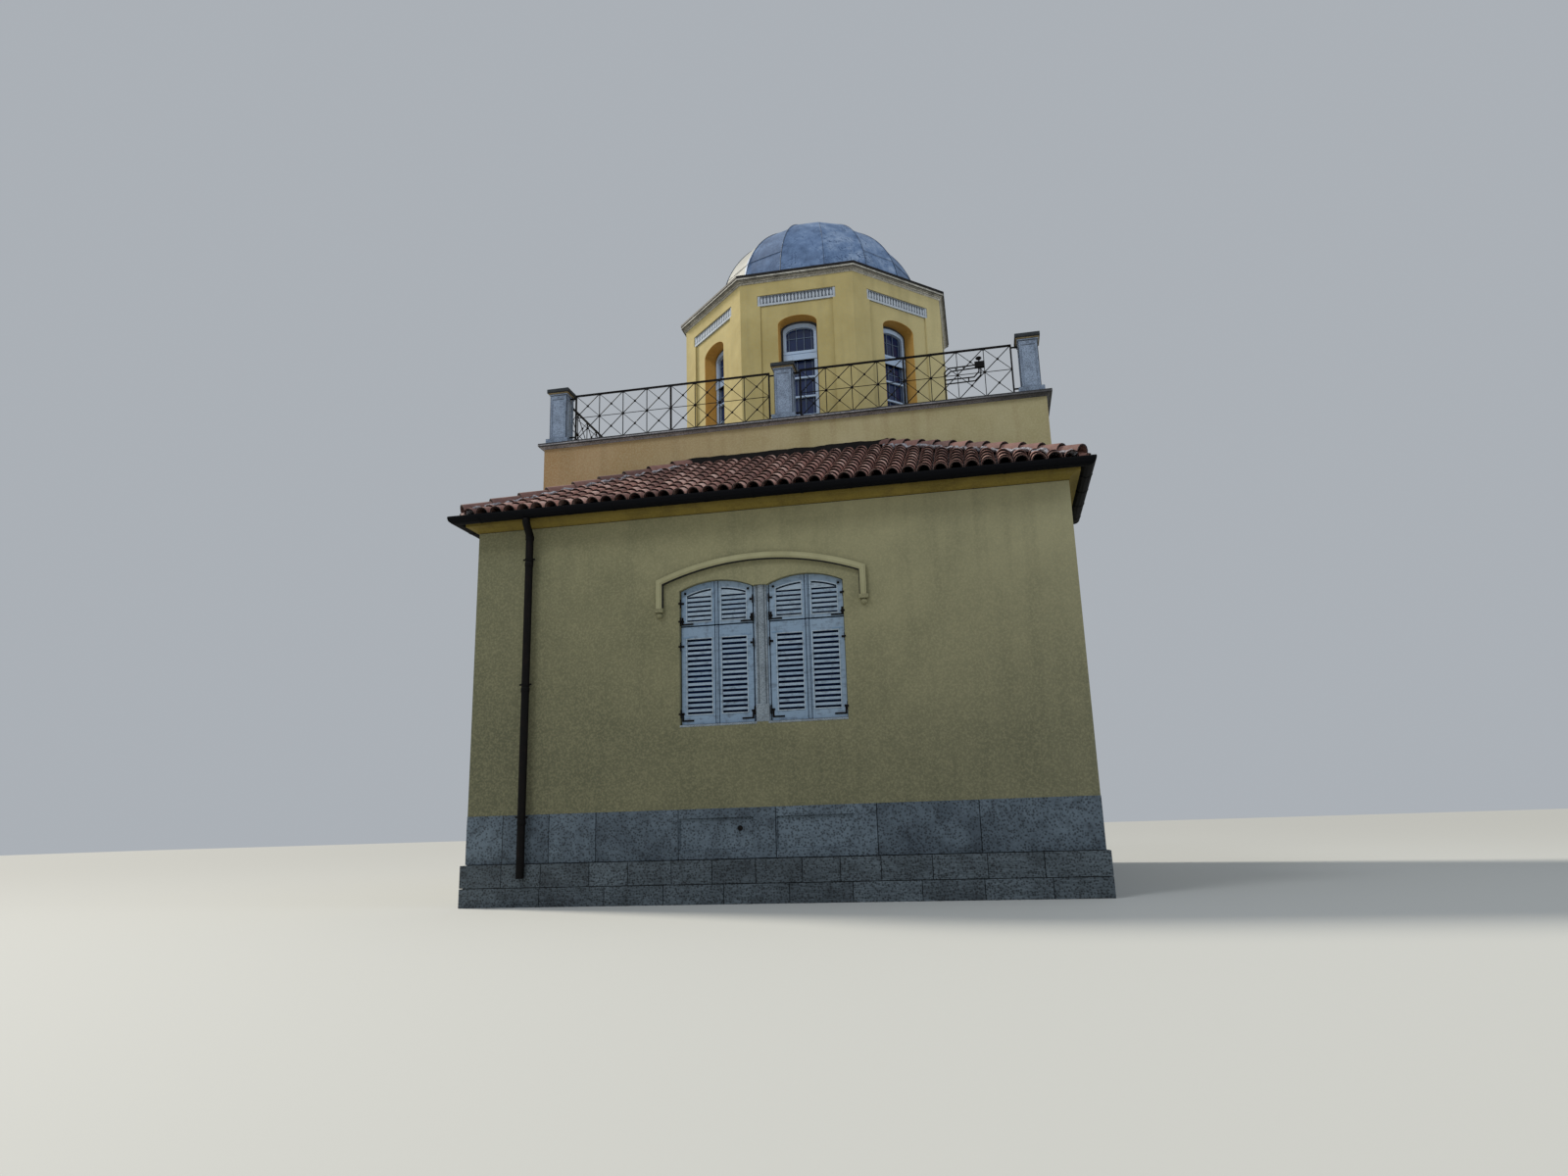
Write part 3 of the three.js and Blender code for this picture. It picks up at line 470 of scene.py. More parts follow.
# The terrace's lower band and the drum's bands are painted shade under mouldings, with dirt; the top band is
# dirt.
TERRACE_DIRT_AND_SHADE_BANDS = ((0.036, 0.048, 0.8), (0.068, 0.087, 0.92))
DRUM_DIRT_AND_SHADE_BANDS = ((0.026, 0.034, 0.6), (0.052, 0.058, 0.5), (0.066, 0.074, 0.7), (0.106, 0.115, 0.7))
terrace_cornice_stone = stained_and_shaded_cornice("stained_and_shaded_cornice_stone", "terrace_cornice", "#8b8a8e", "#c4c2c5",
                                        TERRACE_DIRT_AND_SHADE_BANDS, 0.75)
# The drum cornice's stone is paler than the terrace's, partly as painted light on its shaded mouldings.
drum_cornice_stone = stained_and_shaded_cornice("pale_cornice_stone", "drum_cornice", "#b0ada3", "#e6e3d8", DRUM_DIRT_AND_SHADE_BANDS)
print("cornices:", terrace_cornice_stone.name, drum_cornice_stone.name)

# %% [markdown]
# ## Burnt clay
# Hand-moulded roof tiles of common red clay differ in firing, so each has its own tone, from
# nearly black to a pale brick red. Old ones carry grey lichen spots the size of a coin.

# %% Burnt clay
def burnt_clay():
    material, tree, surface, place = start_finish("burnt_clay_tile", roughness=0.82)
    mixed = calculate(tree, "MULTIPLY_ADD", noise_at(tree, place, 9.0, 4.0), 0.3, tone_of(tree))
    colour = ramp(tree, mixed, (0.15, "#1d1414"), (0.50, "#5c403c"), (0.82, "#946c62"), (1.0, "#cdafa4"))
    lichen = remap(tree, cells_at(tree, place, 26.0), 0.16, 0.3, 0.2, 0.0)
    grit = noise_at(tree, place, 60.0, 3.0)
    dress(tree, surface, mix(tree, lichen, colour, "#857c75"), grit, 0.4, 0.003)
    return material


clay_tile = burnt_clay()
print("clay:", clay_tile.name)

# %% [markdown]
# ## Paint on wood and iron
# The shutters are softwood in pale blue-grey oil paint that has chalked and flaked, the window
# frames the same in white. Iron and gutters are nearly black. Paint hides the metal, so these
# are not metallic: what tells them apart is colour, gloss and how they wear.

# %% Old paint
WORN_FROM, WORN_TO = 0.75, 1.0
MATT = 0.12


def old_paint(name, colour, worn, roughness, wear=0.5, grain=(3.0, 3.0, 40.0), faded=None, gloss=0.5):
    """Paint worn through along the grain. With a faded colour, each board's tone moves towards it."""
    material, tree, surface, place = start_finish(name, roughness=roughness)
    surface.inputs["Specular IOR Level"].default_value = gloss
    fibres = noise_at(tree, stretched(tree, place, grain), 1.0, 5.0)
    flakes = noise_at(tree, place, 11.0, 6.0, 0.7)
    worn_where = calculate(tree, "MULTIPLY_ADD", fibres, 0.5, flakes)
    body = mix(tree, tone_of(tree), colour, faded or colour)
    flaked = mix(tree, remap(tree, worn_where, WORN_FROM, WORN_TO, 0.0, wear), body, worn)
    dress(tree, surface, flaked, worn_where, 0.3, 0.002)
    return material


shutter_paint = old_paint("chalked_blue_grey_paint", "#708aa4", "#434d57", 0.7, 0.75, faded="#a3b2bf")
frame_paint = old_paint("white_frame_paint", "#a9bfdb", "#7f8ea1", 0.6, 0.4)
# The subframe's dark paint is painted shade in the gap round the sash.
subframe_shade_paint = old_paint("subframe_painted_shade_paint", "#3d4651", "#2a2d31", 0.7, 0.5)
grille_paint = old_paint("blue_grey_grille_paint", "#5d6f86", "#3c4654", 0.6, 0.3)
iron_paint = old_paint("black_iron_paint", "#0b0a0b", "#2c1e16", 0.6, 0.5, (20.0, 20.0, 20.0), gloss=MATT)
gutter_paint = old_paint("dark_gutter_paint", "#020307", "#0d0c0d", 0.75, 0.3, (6.0, 6.0, 6.0), gloss=MATT)
pipe_paint = old_paint("brown_downpipe_paint", "#090808", "#1f1613", 0.6, 0.6, (20.0, 20.0, 2.0), gloss=MATT)
lead_sheet = old_paint("lead_sheet", "#1d1c1c", "#3a3835", 0.6, 0.6, (6.0, 6.0, 6.0), gloss=MATT)
tar = old_paint("tarred_flashing", "#0e0c0c", "#221d1a", 0.7, 0.5, (6.0, 6.0, 6.0), gloss=MATT)
print("paints:", shutter_paint.name, frame_paint.name, iron_paint.name)

# %% [markdown]
# ## Zinc sheet and window glass
# The dome is clad in zinc that has dulled to a blue-grey bloom, its blue partly a painted
# reflection of the sky. Dull zinc still has a metal's soft gleam, so it is partly metallic and
# fairly rough, with pale blooms and darker rain trails that run down the gores, and fine wandering
# scratches. A tone past the palest bare zinc paints sunlight, in pale beige, on the gores facing
# the sun. The window panes are opaque, dark and glossy: their darkness is painted shade of the room.

# %% Zinc and glass
PALEST_BARE = 0.8
# Tones past the palest bare zinc paint sunlight on a gore, in pale beige.
SUNLIT_FROM, SUNLIT_TO, SUNLIT_TONE = 0.85, 1.15, 1.5


def zinc_sheet(name, dark, mid, light):
    material, tree, surface, place = start_finish(name, roughness=0.6, metallic=0.2)
    tone = tone_of(tree)
    bloom = noise_at(tree, place, 3.2, 8.0, 0.72)
    bare = calculate(tree, "MINIMUM", tone, PALEST_BARE)
    mixed = calculate(tree, "MULTIPLY_ADD", bare, 0.5, bloom)
    colour = ramp(tree, mixed, (0.45, dark), (0.72, mid), (1.0, light))
    trails = noise_at(tree, stretched(tree, place, (7.0, 7.0, 1.2)), 1.0, 5.0)
    marked = mix(tree, remap(tree, trails, 0.55, 0.75, 0.0, 0.35), colour, dark)
    swirl = noise_at(tree, place, 2.4, 7.0, distortion=1.2)
    scratched = mix(tree, calculate(tree, "COMPARE", swirl, 0.5, 0.006), marked, dark)
    # Painted sunlight: the highest tones turn the zinc pale beige.
    painted_sunlight = mix(tree, remap(tree, tone, SUNLIT_FROM, SUNLIT_TO, 0.0, 0.8), scratched, "#888576")
    tree.links.new(remap(tree, bloom, 0.3, 0.7, 0.55, 0.75), surface.inputs["Roughness"])
    dress(tree, surface, painted_sunlight, noise_at(tree, place, 5.0, 2.0), 0.25, 0.02)
    return material


# Opaque dark glass: its darkness is painted shade of the room behind.
def dark_glass():
    material, tree, surface, place = start_finish("window_glass", roughness=0.08)
    drift = noise_at(tree, place, 1.5, 2.0)
    dress(tree, surface, ramp(tree, drift, (0.0, "#080f26"), (1.0, "#21376a")), drift, 0.1, 0.01)
    return material


# The zinc's blue is partly a painted reflection of the sky.
dome_zinc = zinc_sheet("dulled_zinc_sheet", "#3d5577", "#667fa3", "#9fb1ca")
seam_zinc = zinc_sheet("dark_folded_zinc", "#2b3646", "#43536a", "#5d6f88")
window_glass = dark_glass()
print("sheet and glass:", dome_zinc.name, window_glass.name)

# %% [markdown]
# ## Dress the solids that stay
# Walls, floors, coves, gutters, cornices and the downpipe already have their true shape. They
# keep it, and only take a finish.

# %% Finishes on solids
KEPT = {
    front_render: ["front_wall"],
    wall_render: ["right_wall", "left_wall", "back_wall", "terrace_front_wall"],
    ochre_render: ["drum_wall"],
    cove_render: ["front_cove", "right_cove", "left_cove"],
    terrace_screed: ["ground_floor", "terrace_floor"],
    terrace_cornice_stone: ["terrace_cornice"],
    drum_cornice_stone: ["drum_cornice"],
    clay_tile: ["front_roof", "right_roof", "left_roof"],
    gutter_paint: ["front_gutter", "right_gutter", "left_gutter"],
    pipe_paint: ["downpipe"],
    iron_paint: ["railing_bracket"],
    lead_sheet: ["drum_roof", "dome_track", "dome_ring"],
}
for finish, names in KEPT.items():
    for name in names:
        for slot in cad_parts[name].material_slots:
            slot.material = finish
print("dressed solids:", sum(len(names) for names in KEPT.values()))

# %% [markdown]
# ## Plinth of cut stones
# The plinth stands in three courses: two low ones that step out at the foot, pecked rough, and
# one tall course of smooth slabs with two sunken panels. Each stone is its own rough block,
# pushed in and out a few millimetres, with mortar seen in the joints behind.

# %% Stone courses
JOINT = 0.010
STONE_DEPTH = 0.28
EASING = 0.006
SET_OUT, SEED_STEP = 0.004, 3.7


def stone_block(shape, x, y_front, z, tone, roughness, seed, cell=0.11):
    """One stone. Its face is a grid whose inner points stand in or out by up to roughness."""
    columns = max(2, round((x[1] - x[0]) / cell))
    rows = max(2, round((z[1] - z[0]) / cell))
    points = []
    for k in range(rows + 1):
        for i in range(columns + 1):
            px = x[0] + (x[1] - x[0]) * i / columns
            pz = z[0] + (z[1] - z[0]) * k / rows
            rim = i in (0, columns) or k in (0, rows)
            lift = EASING if rim else -roughness * noise.noise(Vector((px * 5, seed, pz * 5)))
            points.append((px, y_front + lift, pz))
    faces = grid_faces(columns, rows)
    back = [(x[i], y_front + STONE_DEPTH, z[k]) for k in (0, 1) for i in (0, 1)]
    n = len(points)
    low = list(range(columns + 1))
    high = [rows * (columns + 1) + i for i in range(columns + 1)]
    left = [k * (columns + 1) for k in range(rows + 1)]
    right = [k * (columns + 1) + columns for k in range(rows + 1)]
    faces += [(n, n + 1, *low[::-1]), (n + 3, n + 2, *high), (n + 2, n, *left), (n + 1, n + 3, *right[::-1])]
    faces.append((n + 1, n, n + 2, n + 3))
    shape.add(points + back, faces, tone)


def stone_tone(chance):
    return 0.35 + 0.4 * chance.random()


def course(shape, joints, face, z, roughness, chance, seed):
    for i in range(len(joints) - 1):
        x = (joints[i] + JOINT / 2, joints[i + 1] - JOINT / 2)
        y = -face - SET_OUT * chance.random()
        stone_block(shape, x, y, z, stone_tone(chance), roughness, seed + i * SEED_STEP)


# %% [markdown]
# The front's joints follow the building: wide slabs above, shorter stones below. On the other
# sides the same joints are used again in the same order, stretched to each side's length.

# %% Lay the plinth
LOW_COURSE = 0.560
FOOT_COURSE = 0.255
STEP_OUT = 0.060
SLAB_OUT = 0.010
PANEL = {"bottom": 0.675, "height": 0.403, "depth": 0.025}
PANELS = ((-1.155, -0.155), (0.155, 1.155))
VENT_X, VENT_Z, VENT_RADIUS = -0.339, 0.941, 0.036
FRONT_SLABS = [-3.66, -2.99, -2.32, -1.17, 0.14, 1.45, 2.73]
FRONT_STONES = [-3.60, -3.04, -2.36, -1.83, -1.24, -0.70, -0.13, 0.47, 0.95, 1.46, 2.09, 2.75, 3.42]
FRONT_FOOT = [-3.05, -2.15, -1.35, -0.55, 0.3, 1.1, 1.95, 2.7, 3.5]


def spread(joints, low, high):
    return [low] + [low + (j + 4.2) / 8.4 * (high - low) for j in joints] + [high]


def panelled_slab(shape, x, panel, face, z, chance):
    """A slab with a sunk panel: four strips round a plate that lies deeper."""
    low, high = PANEL["bottom"], PANEL["bottom"] + PANEL["height"]
    tone = stone_tone(chance)
    back = -face + STONE_DEPTH
    shape.box((x[0], x[1]), (-face, back), (z[0], low), tone)
    shape.box((x[0], x[1]), (-face, back), (high, z[1]), tone)
    if panel[0] - x[0] > 0.004:
        shape.box((x[0], panel[0]), (-face, back), (low, high), tone)
    if x[1] - panel[1] > 0.004:
        shape.box((panel[1], x[1]), (-face, back), (low, high), tone)
    shape.box((panel[0], panel[1]), (-face + PANEL["depth"], back), (low, high), tone + 0.18)


def lay_plinth(side, face, low, high, chance):
    rough = Shape()
    corner = STEP_OUT if side in ("front", "back") else -STONE_DEPTH
    ends = (low - corner, high + corner)
    foot_z, low_z = (0.0, FOOT_COURSE - JOINT), (FOOT_COURSE, LOW_COURSE - JOINT)
    course(rough, spread(FRONT_FOOT, *ends), face + STEP_OUT, foot_z, 0.02, chance, 5.0)
    course(rough, spread(FRONT_STONES, *ends), face + STEP_OUT - 0.006, low_z, 0.016, chance, 9.0)
    corner = SLAB_OUT if side in ("front", "back") else -STONE_DEPTH
    joints = spread(FRONT_SLABS, low - corner, high + corner)
    smooth = Shape()
    z = (LOW_COURSE, PLINTH_TOP)
    for i in range(len(joints) - 1):
        x = (joints[i] + JOINT / 2, joints[i + 1] - JOINT / 2)
        inside = [p for p in PANELS if p[0] > x[0] - 0.03 and p[1] < x[1] + 0.03] if side == "front" else []
        if inside:
            panelled_slab(smooth, x, inside[0], face + SLAB_OUT, z, chance)
        else:
            stone_block(smooth, x, -face - SLAB_OUT, z, stone_tone(chance), 0.004, i * 2.1, 0.2)
    mortar = Shape()
    back = -face + 0.550
    recess = 0.030
    mortar.box((low, high), (-face + recess - STEP_OUT, back), (0.0, LOW_COURSE - 0.015), 0.4)
    mortar.box((low, high), (-face + recess, back), (LOW_COURSE - 0.015, PLINTH_TOP - 0.006), 0.4)
    turn = SIDES[side]
    if side == "front":
        # A black disc stands for the vent hole; its blackness is painted shade.
        vent_hole_shade = Shape()
        angles = [a * math.pi / 8 for a in range(16)]
        ring = [(VENT_X + VENT_RADIUS * math.cos(a), VENT_Z + VENT_RADIUS * math.sin(a)) for a in angles]
        vent_hole_shade.prism(ring, -face - SLAB_OUT + PANEL["depth"] - 0.004, -face + 0.03)
        make("plinth_vent_hole_shade", vent_hole_shade, iron_paint, 0.002, turn=turn)
    stones = make(f"{side}_foot_courses", rough, foot_limestone, 0.0, turn=turn)
    slabs = make(f"{side}_plinth_slabs", smooth, plinth_limestone, 0.003, turn=turn)
    bed = make(f"{side}_plinth_mortar", mortar, lime_mortar, 0.0, turn=turn)
    for made in (stones, slabs, bed):
        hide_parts(f"{side}_plinth")


mason = random.Random(7)
lay_plinth("front", WING_FACE, -BLOCK_FACE, BLOCK_FACE, mason)
lay_plinth("back", BLOCK_FACE, -BLOCK_FACE, BLOCK_FACE, mason)
lay_plinth("right", BLOCK_FACE, -WING_FACE, BLOCK_FACE, mason)
lay_plinth("left", BLOCK_FACE, -BLOCK_FACE, WING_FACE, mason)

# %% [markdown]
# ## Louvred shutters
# Each window has two lights under flat arches, and four leaves close each light: two tall ones
# below and two short ones above. A leaf is a frame of stiles and rails with slats let in at a
# slant, front edge low, so that rain runs off and a dark gap shows under each slat. All are cut
# as separate boards, because the gaps are what the eye reads. The rows are counted: fifteen gaps
# in a tall leaf, and in a short one six and a last one that follows the arch.

# %% Shutter measures
LIGHT = 1.067
POST = 0.078
POST_TOP, POST_FOOT_TOP = 4.178, 2.545
SILL = 2.307
SPRING = 4.165
LIGHT_RISE = 0.127
SPLIT = 3.666
LEAF_FRONT = 0.060
LEAF_THICK = 0.040
MEETING = 0.6315
JAMB_EDGE, JAMB_FIELD = 1.132, 1.052
POST_EDGE, POST_FIELD = 0.120, 0.211
MEETING_FIELD = 0.0705
LOW_ROWS = {"first": 2.470, "pitch": 0.0714, "count": 15, "gap": 0.031}
HIGH_ROWS = {"first": 3.742, "pitch": 0.0665, "count": 6, "gap": 0.023}
HEAD_RAIL = 0.105
LIGHT_CENTRE = POST + LIGHT / 2
HEAD_RADIUS = ((LIGHT / 2) ** 2 + LIGHT_RISE ** 2) / (2 * LIGHT_RISE)


def head_height(from_centre, drop=0.0):
    """Height of a light's flat arch at a distance from its middle."""
    middle = SPRING + LIGHT_RISE - HEAD_RADIUS
    return middle + math.sqrt(HEAD_RADIUS ** 2 - from_centre ** 2) - drop


# %% [markdown]
# A leaf is described by four lines across it: its hinge edge, the two edges of the louvred
# field, and its meeting edge. The head rail of a short leaf follows the arch in steps. A thin
# fillet frames each field, and its worn edge is the palest line on the leaf. Slats have
# weathered paler than the stiles, which their tone shows.

# %% Cut a leaf
def curved_rail(shape, x, low_at, high_at, y, tone):
    steps = 8
    xs = [x[0] + (x[1] - x[0]) * i / steps for i in range(steps + 1)]
    outline = [(at, low_at(at)) for at in xs] + [(at, high_at(at)) for at in reversed(xs)]
    shape.prism(outline, y[0], y[1], tone)


def slats(shape, x, rows, chance):
    """Slanted boards between the gaps. Some have slipped a little or gone darker."""
    board = 0.009
    front, back = 0.006, 0.034
    for i in range(rows["count"] - 1):
        low = rows["first"] + i * rows["pitch"] + rows["gap"] / 2
        high = low + rows["pitch"] - rows["gap"]
        slip = 0.0007 * chance.uniform(-1, 1)
        points = []
        for px in x:
            points += [(px, front, low + board + slip), (px, back, high), (px, back, high - board),
                       (px, front, low + slip)]
            slip = -slip
        faces = [(0, 1, 2, 3), (7, 6, 5, 4), (0, 4, 5, 1), (1, 5, 6, 2), (2, 6, 7, 3), (3, 7, 4, 0)]
        shape.add(points, faces, chance.uniform(0.1, 0.6))
        upright = [(x[0], low + 0.001), (x[1], low + 0.001), (x[1], high - 0.002), (x[0], high - 0.002)]
        shape.prism(upright, front + 0.001, front + 0.006, chance.uniform(0.3, 0.7))


def fillet(shape, x, z_low, top_at):
    """A raised bead round a field, in four strips; the upper one follows the head."""
    wide, y, tone = 0.012, (-0.005, 0.004), 1.0
    for edge, hand in zip(x, (-1, 1)):
        shape.box(between(edge, hand, 0, wide), y, (z_low - wide, top_at(edge)), tone)
    shape.box(x, y, (z_low - wide, z_low), tone)
    curved_rail(shape, (x[0] - wide, x[1] + wide), top_at, lambda at: top_at(at) + wide, y, tone)


def leaf(shape, centre, outer, field, inner, rows, chance):
    """One leaf; centre is the middle of the light's arch, and inner its meeting edge."""
    tone = chance.uniform(0.15, 0.4)
    boards, set_back = (0.0, LEAF_THICK), (0.002, LEAF_THICK)
    tall = rows is LOW_ROWS
    z_low = SILL + 0.012 if tall else SPLIT + 0.010
    head = lambda at: SPLIT - 0.010 if tall else head_height(at - centre, 0.008)
    field_low = rows["first"] - rows["gap"] / 2
    last_gap = rows["first"] + (rows["count"] - 1) * rows["pitch"]
    field_top = lambda at: last_gap + rows["gap"] / 2 if tall else head_height(at - centre, HEAD_RAIL)
    for a, b in ((outer, field[0]), (field[1], inner)):
        curved_rail(shape, sorted((a, b)), lambda at: z_low, head, boards, tone)
    across = sorted(field)
    shape.box(across, set_back, (z_low, field_low), tone)
    curved_rail(shape, across, field_top, head, set_back, tone)
    behind = (across[0] - 0.003, across[1] + 0.003)
    slats(shape, behind, rows, chance)
    if not tall:
        gap_over = lambda at: field_top(at) - 0.024
        curved_rail(shape, behind, lambda at: last_gap + rows["gap"] / 2, gap_over, (0.007, 0.016), 0.8)
    fillet(shape, across, field_low, field_top)


# %% [markdown]
# The ironwork is hand-forged and painted black: angle straps on the lower corners of each leaf,
# a knuckle on its pin at the jamb, whose hook is leaded into the wall, and a round stop knob. A
# moulded bead covers the joint where the two leaves of a light meet, and a thin sill stone
# closes the opening below.

# %% Leaves, beads and ironwork for one window
HINGE_HEIGHTS = (2.465, 3.390, 3.740, 3.995)
KNUCKLE = ((0.006, -0.062), (0.012, -0.056), (0.012, 0.048), (0.008, 0.060))
PIN_OUT = 0.008
STRAP_Y, STRAP_FROM = (-0.006, 0.001), 0.006
TOP_STRAP = {"reach": (0.020, 0.165), "y": (-0.004, 0.001), "z": (SPLIT - 0.166, SPLIT - 0.146)}
STOP_KNOB = {"reach": 0.058, "out": -0.010, "drop": 0.066, "radius": 0.018}
STRAP_ARMS = ((0.170, -0.011, 0.011), (0.030, 0.010, 0.100))
BEAD = (-0.016, 0.026)
BEAD_STEPS = ((0.0, 0.001, (-0.006, 0.030), 0.25), (0.010, -0.022, (-0.016, -0.006), 0.5),
              (0.030, -0.004, (-0.016, -0.006), 0.4))


def hinge(iron, jamb, edge, toward, height):
    iron.turned((edge - toward * PIN_OUT, -0.014), [(radius, height + up) for radius, up in KNUCKLE], 10)
    iron.box(between(edge, toward, -PIN_OUT, 0.040), (-0.008, 0.001), (height - 0.014, height + 0.014))
    if abs(jamb) > POST:
        iron.box(between(jamb, toward, -0.012, 0.010), (-0.070, -0.012), (height - 0.020, height + 0.004))


def window_joinery(chance):
    boards, iron, sill = Shape(), Shape(), Shape()
    for side in (-1, 1):
        centre, meeting = side * LIGHT_CENTRE, side * MEETING
        for hand in (-1, 1):
            at_jamb = hand == side
            jamb = side * (POST + LIGHT if at_jamb else POST)
            outer = side * (JAMB_EDGE if at_jamb else POST_EDGE)
            field = (side * (JAMB_FIELD if at_jamb else POST_FIELD), meeting + hand * MEETING_FIELD)
            inner = meeting + (BEAD[0] - 0.011 if hand < 0 else BEAD[1] + 0.009)
            for rows in (LOW_ROWS, HIGH_ROWS):
                leaf(boards, centre, outer, field, inner, rows, chance)
            toward = -hand
            for height in HINGE_HEIGHTS:
                hinge(iron, jamb, outer, toward, height)
            for height in (SILL + 0.062, SPLIT + 0.030):
                for reach, down, up in STRAP_ARMS:
                    iron.box(between(outer, toward, STRAP_FROM, reach), STRAP_Y, (height + down, height + up))
            boards.box(between(outer, toward, *TOP_STRAP["reach"]), TOP_STRAP["y"], TOP_STRAP["z"], 0.0)
            knob_x = outer + toward * STOP_KNOB["reach"]
            knob_z = head_height(knob_x - centre) - STOP_KNOB["drop"]
            iron.ball((knob_x, STOP_KNOB["out"], knob_z), STOP_KNOB["radius"])
        for low, high in ((SILL + 0.014, SPLIT - 0.010), (SPLIT + 0.010, head_height(0.03) - 0.008)):
            for left, right, y, tone in BEAD_STEPS:
                boards.box((meeting + BEAD[0] + left, meeting + BEAD[1] + right), y, (low, high), tone)
        strip = between(0, side, POST + 0.003, POST + 0.026)
        boards.box(strip, (0.006, LEAF_THICK), (SILL, head_height(LIGHT / 2 - 0.03) - 0.004), 0.5)
        sill_ends = between(0, side, POST + 0.002, POST + LIGHT)
        sill.box(sill_ends, (-LEAF_FRONT - 0.004, LEAF_THICK), (SILL - 0.026, SILL + 0.002), 0.9)
    return boards, iron, sill


def post_shape():
    """The stone post: a square foot block, and above it a rounded shaft between two fillets."""
    shape = Shape()
    shape.box((-0.090, 0.090), (0.020, 0.320), (SILL, POST_FOOT_TOP), 0.9)
    fillet_line = ((0.052, 0.062), (0.058, 0.045), (POST, 0.045), (POST, 0.320))
    steps = 8
    angles = [math.pi * (1 - i / steps) for i in range(steps + 1)]
    section = [(-x, y) for x, y in reversed(fillet_line)]
    section += [(0.048 * math.cos(a), 0.062 - 0.036 * math.sin(a)) for a in angles]
    section += fillet_line
    n = len(section)
    points = [(x, y, z) for z in (POST_FOOT_TOP, POST_TOP) for x, y in section]
    faces = [(i, (i + 1) % n, n + (i + 1) % n, n + i) for i in range(n)]
    faces += [tuple(range(n - 1, -1, -1)), tuple(range(n, 2 * n))]
    shape.add(points, faces, 0.9)
    return shape


joiner = random.Random(11)
boards_shape, iron_shape, sill_shape = window_joinery(joiner)
boards_data = mesh_of("shutter_boards", boards_shape, shutter_paint, 0.0015)
iron_data = mesh_of("shutter_ironwork", iron_shape, iron_paint)
post_data = mesh_of("window_post", post_shape(), window_stone, 0.004)
sill_data = mesh_of("window_sill", sill_shape, window_stone, 0.003)
print("one window's joinery faces:", len(boards_data.polygons), "ironwork", len(iron_data.polygons))

# %% [markdown]
# The same joinery hangs in all four windows, so its meshes are shared. Only its distance from
# the dome's axis differs: the front wing stands further out than the block. Behind the closed
# shutters one sheet of dark glass stands for each window's panes; its darkness is painted shade
# of the room, so the gaps look into the dark.

# %% Hang the windows
# One sheet of opaque dark glass per window stands behind the shutters as painted shade of the room.
PANE_Y = (0.190, 0.196)
inner_panes = Shape()
for hand in (-1, 1):
    middle, pane_top = hand * LIGHT_CENTRE, SPRING - 0.004
    inner_panes.box(between(0, hand, POST + 0.002, POST + LIGHT - 0.002), PANE_Y, (SILL + 0.004, pane_top))
    foot = [(middle - LIGHT / 2 + 0.02, pane_top), (middle + LIGHT / 2 - 0.02, pane_top)]
    across = [middle + LIGHT * (0.5 - i / 12) for i in range(1, 12)]
    inner_panes.prism(foot + [(x, head_height(x - middle) - 0.003) for x in across], *PANE_Y)
inner_data = mesh_of("inner_panes", inner_panes, window_glass)
for side, turn in SIDES.items():
    wall, leaf_plane = (0, -FACES[side], 0), (0, -FACES[side] + LEAF_FRONT, 0)
    leaves = piece(f"{side}_shutter_boards", boards_data, turn=turn, offset=leaf_plane)
    straps = piece(f"{side}_shutter_ironwork", iron_data, turn=turn, offset=leaf_plane)
    shaft = piece(f"{side}_window_shaft", post_data, turn=turn, offset=wall)
    piece(f"{side}_window_sill", sill_data, turn=turn, offset=leaf_plane)
    piece(f"{side}_inner_panes", inner_data, turn=turn, offset=wall)
    if side == "front":
        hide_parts("front_left_shutters", "front_right_shutters")
        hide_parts("front_left_shutters", "front_right_shutters")
        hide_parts("front_window_post")
    else:
        for made in (leaves, straps, shaft):
            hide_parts(f"{side}_shuttered_window")

# %% [markdown]
# The plaster mould over a window is run with a zinc template, in finer plaster than the wall. Its
# face is painted paler than the wall, as painted light, and a dark line under its lower edge is
# painted shade. Both are thin skins over the mould that the wall already has.

# %% Face of the label mould
LABEL_HALF, LABEL_BAND, LABEL_OUT = 1.470, 0.088, 0.050
LABEL_FOOT, LABEL_SHOULDER, LABEL_CROWN = 3.925, 4.330, 4.620
LABEL_RADIUS = (LABEL_HALF ** 2 + (LABEL_CROWN - LABEL_SHOULDER) ** 2) / (2 * (LABEL_CROWN - LABEL_SHOULDER))


def label_line(inset):
    """The mould's outline set in by some width, from its right foot over the arch to its left one."""
    steps = 24
    half, radius = LABEL_HALF - inset, LABEL_RADIUS - inset
    reach = math.asin(half / radius)
    arc = [reach * (1 - 2 * i / steps) for i in range(steps + 1)]
    middle = LABEL_CROWN - LABEL_RADIUS
    over = [(radius * math.sin(a), middle + radius * math.cos(a)) for a in arc]
    return [(half, LABEL_FOOT)] + over + [(-half, LABEL_FOOT)]


def label_strip(shape, outer, inner, y, tone):
    a, b = label_line(outer), label_line(inner)
    for i in range(len(a) - 1):
        shape.prism([a[i], a[i + 1], b[i + 1], b[i]], y[0], y[1], tone)


